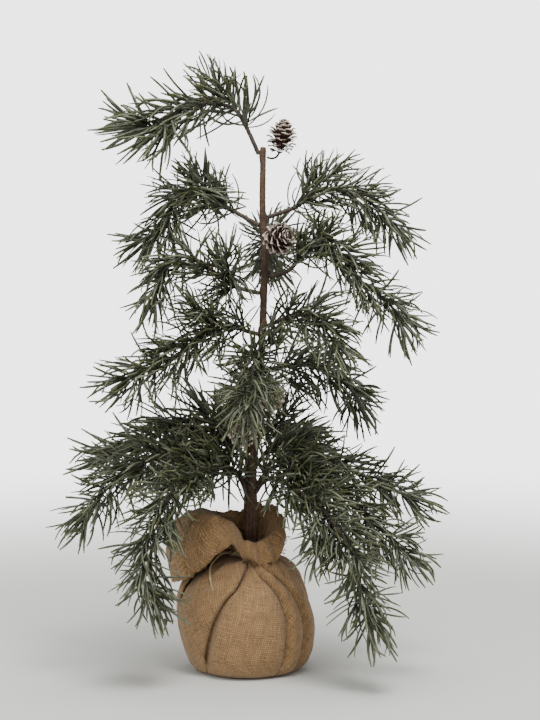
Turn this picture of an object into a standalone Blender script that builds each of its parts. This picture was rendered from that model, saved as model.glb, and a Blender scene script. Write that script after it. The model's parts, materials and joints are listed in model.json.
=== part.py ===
"""Artificial tabletop tree: a taped wire trunk in a weighted pot, wrapped in a burlap square.

Metres, +Z up. The origin is the centre of the sack's flat underside. A heading is an angle in
degrees round the trunk: 0 is right (+X), 90 is back (+Y), 180 is left and 270 is front.
Each branch and each cone hangs on an empty that stands on its bending hinge.
"""

import math
from typing import NamedTuple

import bmesh
import bpy
from mathutils import Vector

MM = 0.001
GAP = 0.3 * MM  # clearance between pieces that touch on the real object

# Overall sizes
TRUNK_HEIGHT = 514 * MM  # the trunk's top above the table
CROWN_REACH = 180 * MM  # how far the longest branch's route goes out from the trunk
# The sizes that the branches' heights and routes below are drawn at
DRAWN_HEIGHT = 514 * MM
DRAWN_REACH = 180 * MM
DRAWN_COLLAR = 160 * MM

# Trunk
CORE_RADIUS = 1.6 * MM
TRUNK_FOOT_RADIUS = 4.5 * MM
TRUNK_TOP_RADIUS = 2.6 * MM
TRUNK_SETBACK = (3 * MM, 0.0)  # where the trunk stands in the pot
TRUNK_SIDES = 10
TRUNK_SPANS = 18
CORE_SIDES = 8
# The trunk's lean to the right at shares of its height: a hand-bent, slightly crooked rod
TRUNK_LEAN = ((0.0, 0), (0.30, 0), (0.40, 3), (0.50, 8), (0.64, 12), (0.80, 15), (0.88, 12), (1.0, 13))

# Base
POT_FLOOR_RADIUS = 44 * MM
POT_RIM_RADIUS = 50 * MM
POT_HEIGHT = 82 * MM
POT_WALL = 1.6 * MM
WEIGHT_HEIGHT = 58 * MM
WEIGHT_FLOOR = 8 * MM  # the cast weight left under the trunk's core
CLOTH = 1.4 * MM
SACK_SLACK = 14 * MM  # how far the sack's widest ring stands out past the pot's rim
SACK_NECK_RISE = 33.3 * MM  # from the pot's rim to the middle of the tied neck
SACK_NECK_RADIUS = 18 * MM
SACK_NECK_MARGIN = 1.5 * MM  # straight cloth above and below the tie
SACK_COLLAR_RISE = 43 * MM  # from the middle of the neck to the collar's rim
SACK_COLLAR_FLARE = 16 * MM  # how far the rim stands out past the neck
SACK_FOLD_REACH = 43 * MM  # how far the loose fold stands out past the collar's rim, to the left
SACK_FOLD_HEADING = 186
SACK_FOLD_SPREAD = 50  # degrees to each side of the fold's middle
# The rings below the neck: share of the shoulder's height, share of the sack's radius
BODY_RINGS = ((0, 0.86), (0.03, 0.92), (0.16, 0.98), (0.45, 1.0), (0.72, 0.97), (0.88, 0.80), (0.96, 0.58))
# The collar's rings: share of its rise, share of its flare, share of the fold's extra radius, and how
# far the ring drops in the fold, as a share of the collar's rise
COLLAR_RINGS = ((0.2, 0.25, 0.88, 0.44), (0.36, 0.45, 1.22, 0.95), (0.7, 0.75, 1.1, 0.52),
                (1.0, 1.0, 0.7, 0.0))
SACK_SIDES = 32
TIE_HEIGHT = 5 * MM
TIE_CORD_RADIUS = 1.25 * MM
# The tie's bulging outline: share of its height, share of the cord's diameter
TIE_OUTLINE = ((0.08, 0.7), (0.25, 1.0), (0.42, 0.7), (0.58, 0.7), (0.75, 1.0), (0.92, 0.7))
TIE_TAIL_RADIUS = 1.0 * MM
TAIL_SIDES = 8

# Heights and radii that follow from the sizes above
POT_LOW = CLOTH + GAP  # the pot's underside
POT_FLOOR_TOP = POT_LOW + POT_WALL
POT_TOP = POT_LOW + POT_HEIGHT
SACK_RADIUS = POT_RIM_RADIUS + SACK_SLACK
SACK_NECK_HEIGHT = POT_TOP + SACK_NECK_RISE
SACK_COLLAR_HEIGHT = SACK_NECK_HEIGHT + SACK_COLLAR_RISE

# Branches
WIRE_RADIUS = 1.5 * MM
WIRE_SIDES = 6
WIRE_STEP = 11 * MM
TWIG_RADIUS = 1.7 * MM
TWIG_SIDES = 6
TIP_CLEAR = GAP + 0.7 * TWIG_RADIUS  # from a wire's end to the tip twig, which may turn away there
# A wire's rounded root: how far back from the hinge and how thick, as shares of the wire's radius
WIRE_ROOT = ((0.95, 0.3), (0.6, 0.8))
NEEDLE_PITCH = 6 * MM  # along a twig, from one ring of needles to the next
NEEDLE_SPREAD_ROOT = 58  # degrees between a needle and its twig at the twig's root
NEEDLE_SPREAD_TIP = 30
NEEDLE_SHORTEST = 0.82  # of a spray's needle reach
NEEDLE_STEP = 0.618  # of the range above it, from one needle to the next, so that lengths never line up
END_NEEDLE = 0.8  # the needle that ends a twig, of the spray's needle reach
BARE_LEAN = 0.2  # how far a needle may lean towards its twig's own wire

# Cones
CONE_SIDES = 10
CONE_ROWS = 8
CONE_WIRE_RADIUS = 0.8 * MM
CONE_WIRE_STEP = 3 * MM
CONE_TIP_RADIUS = 1.5 * MM
SCALE_STEP = 0.72  # the radius under a row of scales, of the radius at the row's edge
SCALE_DEPTH = 0.75  # the share of a row that its scales take

BROWN_TAPE = ("paper_tape", (0.12, 0.07, 0.04), 0.8, 0.0)
GREEN_TAPE = ("branch_tape", (0.09, 0.06, 0.04), 0.8, 0.0)
NEEDLE_GREEN = ("frosted_needles", (0.05, 0.08, 0.04), 0.6, 0.0)
BURLAP = ("burlap", (0.37, 0.24, 0.12), 0.95, 0.0)
JUTE = ("jute_twine", (0.48, 0.36, 0.22), 0.9, 0.0)
CONE_BROWN = ("larch_cone", (0.13, 0.06, 0.04), 0.75, 0.0)
STEEL = ("steel_core", (0.45, 0.44, 0.42), 0.4, 1.0)
POT_BLACK = ("pot_plastic", (0.03, 0.03, 0.03), 0.5, 0.0)
CEMENT = ("cement", (0.42, 0.41, 0.39), 0.95, 0.0)


class Twig(NamedTuple):
    """A needle spray on a side twig of a branch wire."""

    share: float  # where it leaves the wire, as a share of the wire's length
    run: tuple  # (out, side, up) in mm from there, side being counterclockwise from above
    needle: float  # needle reach in mm


class Branch(NamedTuple):
    """One bendable branch. Its routes are in mm from its root, as drawn."""

    name: str
    root: float  # its hinge's height on the trunk, in mm as drawn
    heading: float
    wire: tuple  # (out, up) points of the taped wire
    tip: tuple  # (out, up) points of the tip spray, which carries the wire's line on
    needle: float  # the tip spray's needle reach in mm
    twigs: tuple


BRANCHES = (
    Branch("top_left", 507, 185, ((0, 0), (11, 24), (23, 43), (41, 48), (70, 46), (87, 32)),
           ((87, 32), (100, 26), (115, 27)), 40, (Twig(0.52, ((0, 0, 0), (1, 2, 10), (12, 4, 24)), 27),)),
    Branch("upper_left", 438, 168, ((0, 0), (29, 16), (59, 33), (83, 29), (89, 10)),
           ((89, 10), (99, -8), (112, -15)), 32, (Twig(0.40, ((0, 0, 0), (8, 8, 10), (26, 16, 18)), 26),)),
    Branch("middle_left", 372, 194, ((0, 0), (26, 8), (53, 27), (74, 37), (88, 31)),
           ((88, 31), (97, 14), (104, -2)), 28, (Twig(0.30, ((0, 0, 0), (3, 6, 12), (8, 10, 28)), 20),)),
    Branch("front_left", 332, 208, ((0, 0), (39, 10), (64, 2), (80, -13), (104, -23)),
           ((104, -23), (128, -33), (144, -38)), 36,
           (Twig(0.42, ((0, 0, 0), (8, 4, 11), (26, 6, 20)), 22),)),
    Branch("lower_left", 222, 172, ((0, 0), (30, 20), (67, 22), (97, 6)),
           ((97, 6), (120, -8), (142, -12)), 40, ()),
    Branch("bottom_left", 182, 196, ((0, 0), (12, 16), (37, 26), (81, 33), (125, 18)),
           ((125, 18), (146, -4), (160, -22)), 36, ()),
    Branch("bottom_front_left", 172, 225, ((0, 0), (10, 20), (34, 32), (78, 26), (116, 0), (136, -40)),
           ((136, -40), (136, -64), (122, -84)), 34, ()),
    Branch("upper_right", 446, 8, ((0, 0), (28, 10), (44, 23), (67, 27), (95, 19)),
           ((95, 19), (114, 3), (126, -10)), 34, (Twig(0.50, ((0, 0, 0), (5, 5, 11), (22, 9, 20)), 26),)),
    Branch("middle_right", 388, 344, ((0, 0), (19, 6), (42, 28), (71, 23), (93, -5)),
           ((93, -5), (118, -22), (131, -42)), 36,
           (Twig(0.42, ((0, 0, 0), (7, -6, 10), (24, -10, 15)), 22),)),
    Branch("front_right", 340, 318, ((0, 0), (26, 9), (54, 15)),
           ((54, 15), (75, 0), (92, -16)), 28, ()),
    Branch("back_right", 296, 32, ((0, 0), (33, 4), (60, 0), (76, -8)),
           ((76, -8), (98, -22), (110, -38)), 34, ()),
    Branch("lower_right", 206, 4, ((0, 0), (12, 14), (35, 18), (74, -2), (104, -16)),
           ((104, -16), (130, -28), (150, -38)), 36, ()),
    Branch("bottom_right", 184, 340, ((0, 0), (12, 14), (35, 20), (86, -6), (122, -34)),
           ((122, -34), (140, -49), (154, -61)), 34, ()),
    Branch("bottom_front_right", 176, 316, ((0, 0), (14, 14), (38, 14), (90, -8), (127, -42), (136, -58)),
           ((136, -58), (140, -84), (152, -108)), 36,
           (Twig(0.62, ((0, 0, 0), (4, -8, -11), (6, -18, -36)), 22),)),
    Branch("front", 306, 264, ((0, 0), (22, 8), (50, 4), (72, -10)),
           ((72, -10), (90, -24), (104, -38)), 30, ()),
    Branch("upper_back", 410, 88, ((0, 0), (24, 10), (56, 14), (78, 4)),
           ((78, 4), (96, -8), (110, -18)), 34, ()),
    Branch("lower_back", 258, 98, ((0, 0), (26, 12), (60, 14), (92, 0)),
           ((92, 0), (112, -14), (128, -26)), 34, ()),
    Branch("back_left", 204, 132, ((0, 0), (24, 16), (62, 20), (96, 4)),
           ((96, 4), (118, -14), (132, -30)), 34, ()),
    Branch("lower_back_right", 226, 60, ((0, 0), (24, 10), (62, 4), (92, -14)),
           ((92, -14), (112, -30), (126, -46)), 34, ()),
)


class Cone(NamedTuple):
    """A cone on its own thin wire. Its route is in mm from the wire's root."""

    name: str
    root: float  # its hinge's height on the trunk, in mm as drawn
    heading: float
    wire: tuple  # (out, up) points
    points: tuple  # (out, side, up): which way the cone points
    length: float  # mm
    width: float  # mm


CONES = (
    Cone("top", 504, 0, ((0, 0), (4, -1), (9, 0), (12, 5)), (0.18, 0, 1), 36, 29),
    Cone("middle", 410, 300, ((0, 0), (2, 5), (4, 10), (9, 13)), (1, 0.15, 0.25), 31, 31),
    Cone("lower", 262, 292, ((0, 0), (3, 4), (6, 8), (11, 10)), (1, 0.1, 0.15), 30, 28),
    Cone("bottom", 226, 243, ((0, 0), (3, 3), (7, 7), (12, 9)), (1, 0.1, 0.3), 30, 28),
)


def clear_scene():
    for obj in list(bpy.data.objects):
        bpy.data.objects.remove(obj, do_unlink=True)


def material(finish):
    name, colour, roughness, metallic = finish
    found = bpy.data.materials.get(name)
    if found:
        return found
    made = bpy.data.materials.new(name)
    made.use_nodes = True
    shader = made.node_tree.nodes["Principled BSDF"]
    shader.inputs["Base Color"].default_value = (*colour, 1)
    shader.inputs["Roughness"].default_value = roughness
    shader.inputs["Metallic"].default_value = metallic
    return made


def add_object(name, bm, finish, parent=None, smooth=True):
    """The bmesh as a named object. Under a parent, its mesh is moved to be local to it."""
    if parent:
        bmesh.ops.translate(bm, verts=bm.verts, vec=-parent.location)
    mesh = bpy.data.meshes.new(name)
    bm.to_mesh(mesh)
    bm.free()
    if smooth:
        mesh.shade_smooth()
        mesh.set_sharp_from_angle(angle=math.radians(50))
    mesh.materials.append(material(finish))
    obj = bpy.data.objects.new(name, mesh)
    bpy.context.collection.objects.link(obj)
    obj.parent = parent
    return obj


def add_hinge(name, place):
    """An empty on a bending hinge, which carries the pieces that move with it."""
    empty = bpy.data.objects.new(name, None)
    empty.empty_display_size = 10 * MM
    empty.location = place
    bpy.context.collection.objects.link(empty)
    return empty


def smooth_path(points, step):
    """Points about a step apart on a Catmull-Rom curve through the given points."""
    points = [Vector(p) for p in points]
    padded = [2 * points[0] - points[1], *points, 2 * points[-1] - points[-2]]
    fine = [points[0]]
    for a, b, c, d in zip(padded, padded[1:], padded[2:], padded[3:]):
        for i in range(1, 13):
            t = i / 12
            fine.append(0.5 * (2 * b + (c - a) * t + (2 * a - 5 * b + 4 * c - d) * t * t
                               + (3 * b - 3 * c + d - a) * t ** 3))
    lengths = [0.0]
    for a, b in zip(fine, fine[1:]):
        lengths.append(lengths[-1] + (b - a).length)
    count = max(2, round(lengths[-1] / step))
    return [point_at(fine, lengths, lengths[-1] * i / count) for i in range(count + 1)]


def point_at(fine, lengths, distance):
    for i in range(1, len(fine)):
        if lengths[i] >= distance:
            break
    share = (distance - lengths[i - 1]) / max(lengths[i] - lengths[i - 1], 1e-12)
    return fine[i - 1].lerp(fine[i], min(share, 1.0))


def frames(path):
    """(tangent, first normal, second normal) at each point, carried along without twist."""
    tangents = [(b - a).normalized() for a, b in zip(path, path[1:])]
    tangents = [tangents[0], *((a + b).normalized() for a, b in zip(tangents, tangents[1:])), tangents[-1]]
    side = Vector((0, 0, 1)) if abs(tangents[0].z) < 0.9 else Vector((1, 0, 0))
    made = []
    for tangent in tangents:
        side = (side - tangent * side.dot(tangent)).normalized()
        made.append((tangent, side, tangent.cross(side)))
    return made


def rings(bm, path, radii, sides):
    """A ring of vertices round each point of the path."""
    made = []
    for centre, radius, (_, first, second) in zip(path, radii, frames(path)):
        angles = [2 * math.pi * k / sides for k in range(sides)]
        made.append([bm.verts.new(centre + radius * (math.cos(a) * first + math.sin(a) * second))
                     for a in angles])
    return made


def band(bm, low, high):
    """The quads between two rings."""
    count = len(low)
    return [bm.faces.new((low[k], low[(k + 1) % count], high[(k + 1) % count], high[k]))
            for k in range(count)]


def face_out(bm):
    bmesh.ops.recalc_face_normals(bm, faces=bm.faces)


def rod(path, radii, sides):
    """A solid round rod along a path."""
    bm = bmesh.new()
    made = rings(bm, path, radii, sides)
    for low, high in zip(made, made[1:]):
        band(bm, low, high)
    bm.faces.new(made[0])
    bm.faces.new(made[-1])
    face_out(bm)
    return bm


def pipe(path, radii, bore, sides):
    """A round pipe along a path, open at both ends."""
    bm = bmesh.new()
    outer = rings(bm, path, radii, sides)
    inner = rings(bm, path, [bore] * len(path), sides)
    for skin in (outer, inner):
        for low, high in zip(skin, skin[1:]):
            band(bm, low, high)
    band(bm, inner[0], outer[0])
    band(bm, outer[-1], inner[-1])
    face_out(bm)
    return bm


def turned(profile):
    """A solid of revolution from (radius, height) points, whose first and last lie on the axis."""
    bm = bmesh.new()
    low_pole = bm.verts.new((0, 0, profile[0][1]))
    high_pole = bm.verts.new((0, 0, profile[-1][1]))
    made = [ring_at(bm, (0, 0), radius, height) for radius, height in profile[1:-1]]
    for low, high in zip(made, made[1:]):
        band(bm, low, high)
    for pole, ring in ((low_pole, made[0]), (high_pole, made[-1])):
        for k in range(SACK_SIDES):
            bm.faces.new((pole, ring[k], ring[(k + 1) % SACK_SIDES]))
    face_out(bm)
    return bm


def rise_scale():
    """The crown's height above the sack's collar, as a share of what is drawn."""
    return (TRUNK_HEIGHT - SACK_COLLAR_HEIGHT) / (DRAWN_HEIGHT - DRAWN_COLLAR)


def rise_of(drawn):
    """A rise that is drawn in mm, in this tree's crown."""
    return drawn * MM * rise_scale()


def height_of(drawn):
    """A height above the table that is drawn in mm, in this tree's crown."""
    return SACK_COLLAR_HEIGHT + (drawn * MM - DRAWN_COLLAR) * rise_scale()


def reach_of(drawn):
    """An outward or sideways distance that is drawn in mm, at this crown's reach."""
    return drawn * MM * CROWN_REACH / DRAWN_REACH


def needle_of(drawn):
    """A needle reach that is drawn in mm. Needles fit between the branches, so they follow their spacing."""
    return drawn * MM * min(rise_scale(), CROWN_REACH / DRAWN_REACH)


def trunk_point(height):
    """The trunk's centre at a height above the table."""
    share = height / TRUNK_HEIGHT
    for (a, lean_a), (b, lean_b) in zip(TRUNK_LEAN, TRUNK_LEAN[1:]):
        if share <= b:
            break
    lean = lean_a + (lean_b - lean_a) * (share - a) / (b - a)
    return Vector((TRUNK_SETBACK[0] + lean * MM, TRUNK_SETBACK[1], height))


def trunk_radius(height):
    """The taped trunk's radius, which falls evenly from the pot to the top."""
    share = (height - POT_HEIGHT) / (TRUNK_HEIGHT - POT_HEIGHT)
    return TRUNK_FOOT_RADIUS + (TRUNK_TOP_RADIUS - TRUNK_FOOT_RADIUS) * min(max(share, 0), 1)


def headed(heading):
    """Unit vectors outward and sideways (counterclockwise from above) at a heading."""
    angle = math.radians(heading)
    return Vector((math.cos(angle), math.sin(angle), 0)), Vector((-math.sin(angle), math.cos(angle), 0))


def wrap_heights():
    """The heights of the trunk wrap's rings, from the cast weight to the top."""
    low = POT_FLOOR_TOP + WEIGHT_HEIGHT + GAP
    return [low + (TRUNK_HEIGHT - low) * i / TRUNK_SPANS for i in range(TRUNK_SPANS + 1)]


def wrap_centre(height):
    """The centre of the trunk's wrap at a height. The wrap runs straight from ring to ring."""
    heights = wrap_heights()
    for low, high in zip(heights, heights[1:]):
        if height <= high:
            break
    return trunk_point(low).lerp(trunk_point(high), (height - low) / (high - low))


def hinge_place(root, heading, radius):
    """The centre of a wire's root, its own radius and a gap clear of the trunk's wrap."""
    height = height_of(root)
    return wrap_centre(height) + headed(heading)[0] * (trunk_radius(height) + GAP + radius)


def wire_path(start, heading, points, step):
    out = headed(heading)[0]
    return smooth_path([start + out * reach_of(o) + Vector((0, 0, rise_of(u))) for o, u in points], step)


def wire_rod(path, radius):
    """A wire whose root end is rounded about the hinge, so that it can bend there."""
    along = (path[1] - path[0]).normalized()
    root = [path[0] - along * radius * back for back, _ in WIRE_ROOT]
    radii = [radius * share for _, share in WIRE_ROOT] + [radius] * len(path)
    return rod([*root, *path], radii, WIRE_SIDES)


def trunk():
    heights = wrap_heights()
    path = [trunk_point(h) for h in heights]
    wrap = pipe(path, [trunk_radius(h) for h in heights], CORE_RADIUS + GAP, TRUNK_SIDES)
    add_object("trunk_paper_wrap", wrap, BROWN_TAPE)
    foot = Vector((*TRUNK_SETBACK, POT_FLOOR_TOP + WEIGHT_FLOOR))
    add_object("trunk_core", rod([foot, *path], [CORE_RADIUS] * (len(path) + 1), CORE_SIDES), STEEL)


def pot_radius(height):
    """The pot's outer radius at a height above its underside."""
    return POT_FLOOR_RADIUS + (POT_RIM_RADIUS - POT_FLOOR_RADIUS) * height / POT_HEIGHT


def pot():
    foot = pot_radius(POT_WALL) - POT_WALL
    profile = ((0, POT_LOW), (POT_FLOOR_RADIUS, POT_LOW), (POT_RIM_RADIUS, POT_TOP),
               (POT_RIM_RADIUS - POT_WALL, POT_TOP), (foot, POT_FLOOR_TOP), (0, POT_FLOOR_TOP))
    add_object("plastic_pot", turned(profile), POT_BLACK)


def weight():
    """The cast weight, with a blind hole that holds the trunk's core."""
    low = POT_FLOOR_TOP + GAP
    high = POT_FLOOR_TOP + WEIGHT_HEIGHT
    hole = CORE_RADIUS + GAP
    hole_floor = POT_FLOOR_TOP + WEIGHT_FLOOR - GAP
    # the pot's inner wall leans out, so the weight keeps a gap measured level
    foot, head = (pot_radius(h - POT_LOW) - POT_WALL - 2 * GAP for h in (low, high))
    bm = bmesh.new()
    outer = [ring_at(bm, (0, 0), radius, height) for radius, height in ((foot, low), (head, high))]
    inner = [ring_at(bm, TRUNK_SETBACK, hole, height) for height in (high, hole_floor)]
    made = [*outer, *inner]
    for lower, upper in zip(made, made[1:]):
        band(bm, lower, upper)
    bm.faces.new(made[0])
    bm.faces.new(made[-1])
    face_out(bm)
    add_object("cement_weight", bm, CEMENT)


def ring_at(bm, centre, radius, height):
    angles = [2 * math.pi * k / SACK_SIDES for k in range(SACK_SIDES)]
    return [bm.verts.new((centre[0] + radius * math.cos(a), centre[1] + radius * math.sin(a), height))
            for a in angles]


def fold_share(angle):
    """How much of the loose fold stands out at an angle: 1 in its middle, 0 past its spread."""
    off = abs((math.degrees(angle) - SACK_FOLD_HEADING + 180) % 360 - 180) / SACK_FOLD_SPREAD
    return 0.5 + 0.5 * math.cos(math.pi * off) if off < 1 else 0.0


def sack():
    """The burlap square as one gathered shell: flat foot, round body, tied neck, collar and fold."""
    half_neck = TIE_HEIGHT / 2 + SACK_NECK_MARGIN
    shoulder = SACK_NECK_HEIGHT - half_neck
    collar = SACK_NECK_HEIGHT + half_neck
    rise = SACK_COLLAR_HEIGHT - collar
    levels = [(shoulder * height, SACK_RADIUS * radius, 0, 0) for height, radius in BODY_RINGS]
    levels += [(shoulder, SACK_NECK_RADIUS, 0, 0), (collar, SACK_NECK_RADIUS, 0, 0)]
    levels += [(collar + rise * share, SACK_NECK_RADIUS + SACK_COLLAR_FLARE * flare, fold, drop)
               for share, flare, fold, drop in COLLAR_RINGS]
    bm = bmesh.new()
    made = []
    for height, radius, fold, drop in levels:
        ring = []
        for k in range(SACK_SIDES):
            angle = 2 * math.pi * k / SACK_SIDES
            share = fold_share(angle)
            out = radius + fold * share * SACK_FOLD_REACH
            level = height - drop * share * rise
            ring.append(bm.verts.new((out * math.cos(angle), out * math.sin(angle), level)))
        made.append(ring)
    for low, high in zip(made, made[1:]):
        band(bm, low, high)
    centre = bm.verts.new((0, 0, 0))
    for k in range(SACK_SIDES):
        bm.faces.new((centre, made[0][(k + 1) % SACK_SIDES], made[0][k]))
    face_out(bm)
    obj = add_object("burlap_wrap", bm, BURLAP)
    shell = obj.modifiers.new("cloth", "SOLIDIFY")
    shell.thickness = CLOTH
    shell.offset = -1
    shell.use_even_offset = True


def tie():
    """Two turns of twine round the neck, as one solid, and the tail that hangs from them."""
    inner = SACK_NECK_RADIUS + GAP
    low = SACK_NECK_HEIGHT - TIE_HEIGHT / 2
    thick = 2 * TIE_CORD_RADIUS
    section = [(inner + thick * bulge, low + TIE_HEIGHT * share) for share, bulge in TIE_OUTLINE]
    section = [(inner, low), *section, (inner, low + TIE_HEIGHT)]
    bm = bmesh.new()
    made = [ring_at(bm, (0, 0), radius, height) for radius, height in section]
    for a, b in zip(made, [*made[1:], made[0]]):
        band(bm, a, b)
    face_out(bm)
    add_object("jute_tie", bm, JUTE)
    path = smooth_path([cylindrical(*p) for p in tail_route()], 3 * TIE_TAIL_RADIUS)
    add_object("jute_tie_tail", rod(path, [TIE_TAIL_RADIUS] * len(path), TAIL_SIDES), JUTE)


def tail_route():
    """(radius, heading, height) points of the loose tail, from the tie and down over the shoulder."""
    start = SACK_NECK_RADIUS + 2 * TIE_CORD_RADIUS + 2 * GAP
    neck = SACK_NECK_HEIGHT
    lift = TIE_TAIL_RADIUS + 2 * GAP
    return ((start, 214, neck), (start + 6 * MM, 215, neck + 1 * MM),
            (0.58 * SACK_RADIUS, 218, neck - 4 * MM + lift), (0.80 * SACK_RADIUS, 226, 0.90 * neck + lift),
            (0.93 * SACK_RADIUS + lift, 236, 0.80 * neck), (0.98 * SACK_RADIUS + lift, 243, 0.70 * neck))


def cylindrical(radius, heading, height):
    return headed(heading)[0] * radius + Vector((0, 0, height))


def spray(name, path, needle, parent, bare=None):
    """A needle spray as one solid: a twig whose sides rise into needles that lean forward.

    No needle leans towards the bare direction, where the branch's own wire runs.
    """
    bm = bmesh.new()
    made = rings(bm, path, [TWIG_RADIUS] * len(path), TWIG_SIDES)
    along = frames(path)
    spans = len(path) - 1
    for i, (low, high) in enumerate(zip(made, made[1:])):
        quads = band(bm, low, high)
        spread = math.radians(NEEDLE_SPREAD_ROOT + (NEEDLE_SPREAD_TIP - NEEDLE_SPREAD_ROOT) * i / spans)
        for k, quad in enumerate(quads):
            centre = quad.calc_center_median()
            tangent = along[i][0]
            outward = centre - (path[i] + path[i + 1]) / 2
            outward = (outward - tangent * outward.dot(tangent)).normalized()
            if (i + k) % 2 or i == 0 or (bare and outward.dot(bare) > BARE_LEAN):
                continue
            extra = (i * TWIG_SIDES + k) * NEEDLE_STEP % 1
            length = needle * (NEEDLE_SHORTEST + (1 - NEEDLE_SHORTEST) * extra)
            apex = centre + length * (math.sin(spread) * outward + math.cos(spread) * tangent)
            raise_needle(bm, quad, apex)
    bm.faces.new(made[0])
    end = bm.faces.new(made[-1])
    raise_needle(bm, end, path[-1] + along[-1][0] * needle * END_NEEDLE)
    face_out(bm)
    return add_object(name, bm, NEEDLE_GREEN, parent, smooth=False)


def raise_needle(bm, face, apex):
    """Raises a face into a needle with its point at the apex."""
    bmesh.ops.poke(bm, faces=[face])["verts"][0].co = apex


def branch(spec):
    start = hinge_place(spec.root, spec.heading, WIRE_RADIUS)
    hinge = add_hinge(spec.name + "_hinge", start)
    path = wire_path(start, spec.heading, spec.wire, WIRE_STEP)
    add_object(spec.name + "_wire", wire_rod(path, WIRE_RADIUS), GREEN_TAPE, hinge)
    tip = wire_path(start, spec.heading, spec.tip, NEEDLE_PITCH)
    ahead = (path[-1] - path[-2]).normalized()
    tip[0] = path[-1] + ahead * TIP_CLEAR
    spray(spec.name + "_tip_needles", tip, needle_of(spec.needle), hinge)
    for twig in spec.twigs:
        side_twig(spec, twig, path, hinge)


def side_twig(spec, twig, path, hinge):
    """A spray on a side twig. Its root stands just clear of the wire that it leaves."""
    out, side = headed(spec.heading)
    leave = twig.share * (len(path) - 1)
    at = path[int(leave)].lerp(path[int(leave) + 1], leave % 1)
    along = (path[int(leave) + 1] - path[int(leave)]).normalized()
    run = smooth_path([at + out * reach_of(o) + side * reach_of(s) + Vector((0, 0, rise_of(u)))
                       for o, s, u in twig.run], NEEDLE_PITCH)
    first = (run[1] - run[0]).normalized()
    away = (first - along * first.dot(along)).normalized()
    lean = first.dot(away)
    clear = (WIRE_RADIUS + 2 * GAP + TWIG_RADIUS * math.sqrt(1 - lean * lean)) / lean
    run = [run[0] + first * clear, *(p for p in run[1:] if (p - run[0]).length > clear + NEEDLE_PITCH / 2)]
    spray(spec.name + "_inner_needles", run, needle_of(twig.needle), hinge, -away)


def cone(spec):
    """A closed larch cone, its rows of scales as steps, on its thin wire."""
    start = hinge_place(spec.root, spec.heading, CONE_WIRE_RADIUS)
    hinge = add_hinge(spec.name + "_cone_hinge", start)
    out, side = headed(spec.heading)
    route = [start + out * o * MM + Vector((0, 0, u * MM)) for o, u in spec.wire]
    path = smooth_path(route, CONE_WIRE_STEP)
    add_object(spec.name + "_cone_wire", wire_rod(path, CONE_WIRE_RADIUS), BROWN_TAPE, hinge)
    aim = (out * spec.points[0] + side * spec.points[1] + Vector((0, 0, spec.points[2]))).normalized()
    foot = path[-1] + aim * (GAP + CONE_WIRE_RADIUS)
    heights, radii = [], []
    for row in range(CONE_ROWS):
        share = (row + 0.5) / CONE_ROWS
        full = spec.width / 2 * MM * math.sin(math.pi * (0.12 + 0.80 * share)) ** 0.8
        heights += [spec.length * MM * row / CONE_ROWS, spec.length * MM * (row + SCALE_DEPTH) / CONE_ROWS]
        radii += [full * SCALE_STEP, full]
    path = [foot + aim * h for h in [*heights, spec.length * MM]]
    add_object(spec.name + "_cone", rod(path, [*radii, CONE_TIP_RADIUS], CONE_SIDES), CONE_BROWN, hinge)


def main():
    clear_scene()
    pot()
    weight()
    trunk()
    sack()
    tie()
    for spec in BRANCHES:
        branch(spec)
    for spec in CONES:
        cone(spec)


main()
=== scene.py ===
"""Looks of an artificial tabletop tree: taped wires, frosted needles, small cones and a burlap sack.

Metres, +Z up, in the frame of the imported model. Each operator makes one kind of piece.
"""

import json
import math
import random

import bmesh
import bpy
from bpy.props import FloatProperty, FloatVectorProperty, IntProperty, PointerProperty
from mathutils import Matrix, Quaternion, Vector, noise


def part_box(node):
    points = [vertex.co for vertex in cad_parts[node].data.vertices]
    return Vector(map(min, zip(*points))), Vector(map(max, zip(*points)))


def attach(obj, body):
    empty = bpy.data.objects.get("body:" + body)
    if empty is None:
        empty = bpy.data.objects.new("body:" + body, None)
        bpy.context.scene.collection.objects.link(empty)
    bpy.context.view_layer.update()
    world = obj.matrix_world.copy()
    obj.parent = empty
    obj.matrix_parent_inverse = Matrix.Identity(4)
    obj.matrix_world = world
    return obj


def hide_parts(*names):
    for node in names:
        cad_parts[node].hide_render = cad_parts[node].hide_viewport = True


bl_info = {
    "name": "Tabletop Tree",
    "version": (1, 0, 0),
    "blender": (4, 5, 0),
    "location": "View3D > Sidebar > Tabletop Tree",
    "description": "Needles, taped wires, cones, burlap and studio for an artificial tabletop tree",
    "category": "Object",
}

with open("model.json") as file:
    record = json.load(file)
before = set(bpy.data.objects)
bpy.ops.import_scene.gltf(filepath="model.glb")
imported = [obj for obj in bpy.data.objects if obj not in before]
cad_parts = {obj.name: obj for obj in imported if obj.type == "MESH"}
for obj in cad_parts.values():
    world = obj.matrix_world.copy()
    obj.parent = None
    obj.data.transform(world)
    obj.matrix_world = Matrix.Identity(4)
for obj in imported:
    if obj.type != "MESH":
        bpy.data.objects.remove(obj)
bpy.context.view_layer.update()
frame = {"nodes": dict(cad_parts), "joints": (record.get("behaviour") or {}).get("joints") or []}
MM = 0.001
BASE = "base_and_trunk"
GOLDEN_ANGLE = math.radians(137.508)


def linear(hex_text):
    """A linear colour from an sRGB hex value."""
    parts = [int(hex_text[i:i + 2], 16) / 255 for i in (1, 3, 5)]
    return tuple(c / 12.92 if c <= 0.04045 else ((c + 0.055) / 1.055) ** 2.4 for c in parts)


def size(name, description, default):
    return FloatProperty(name=name, description=description, default=default, min=0.0, unit="LENGTH",
                         precision=4)


def colour(name, description, hex_text):
    return FloatVectorProperty(name=name, description=description, default=linear(hex_text), size=3,
                               min=0.0, max=1.0, subtype="COLOR")


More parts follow.
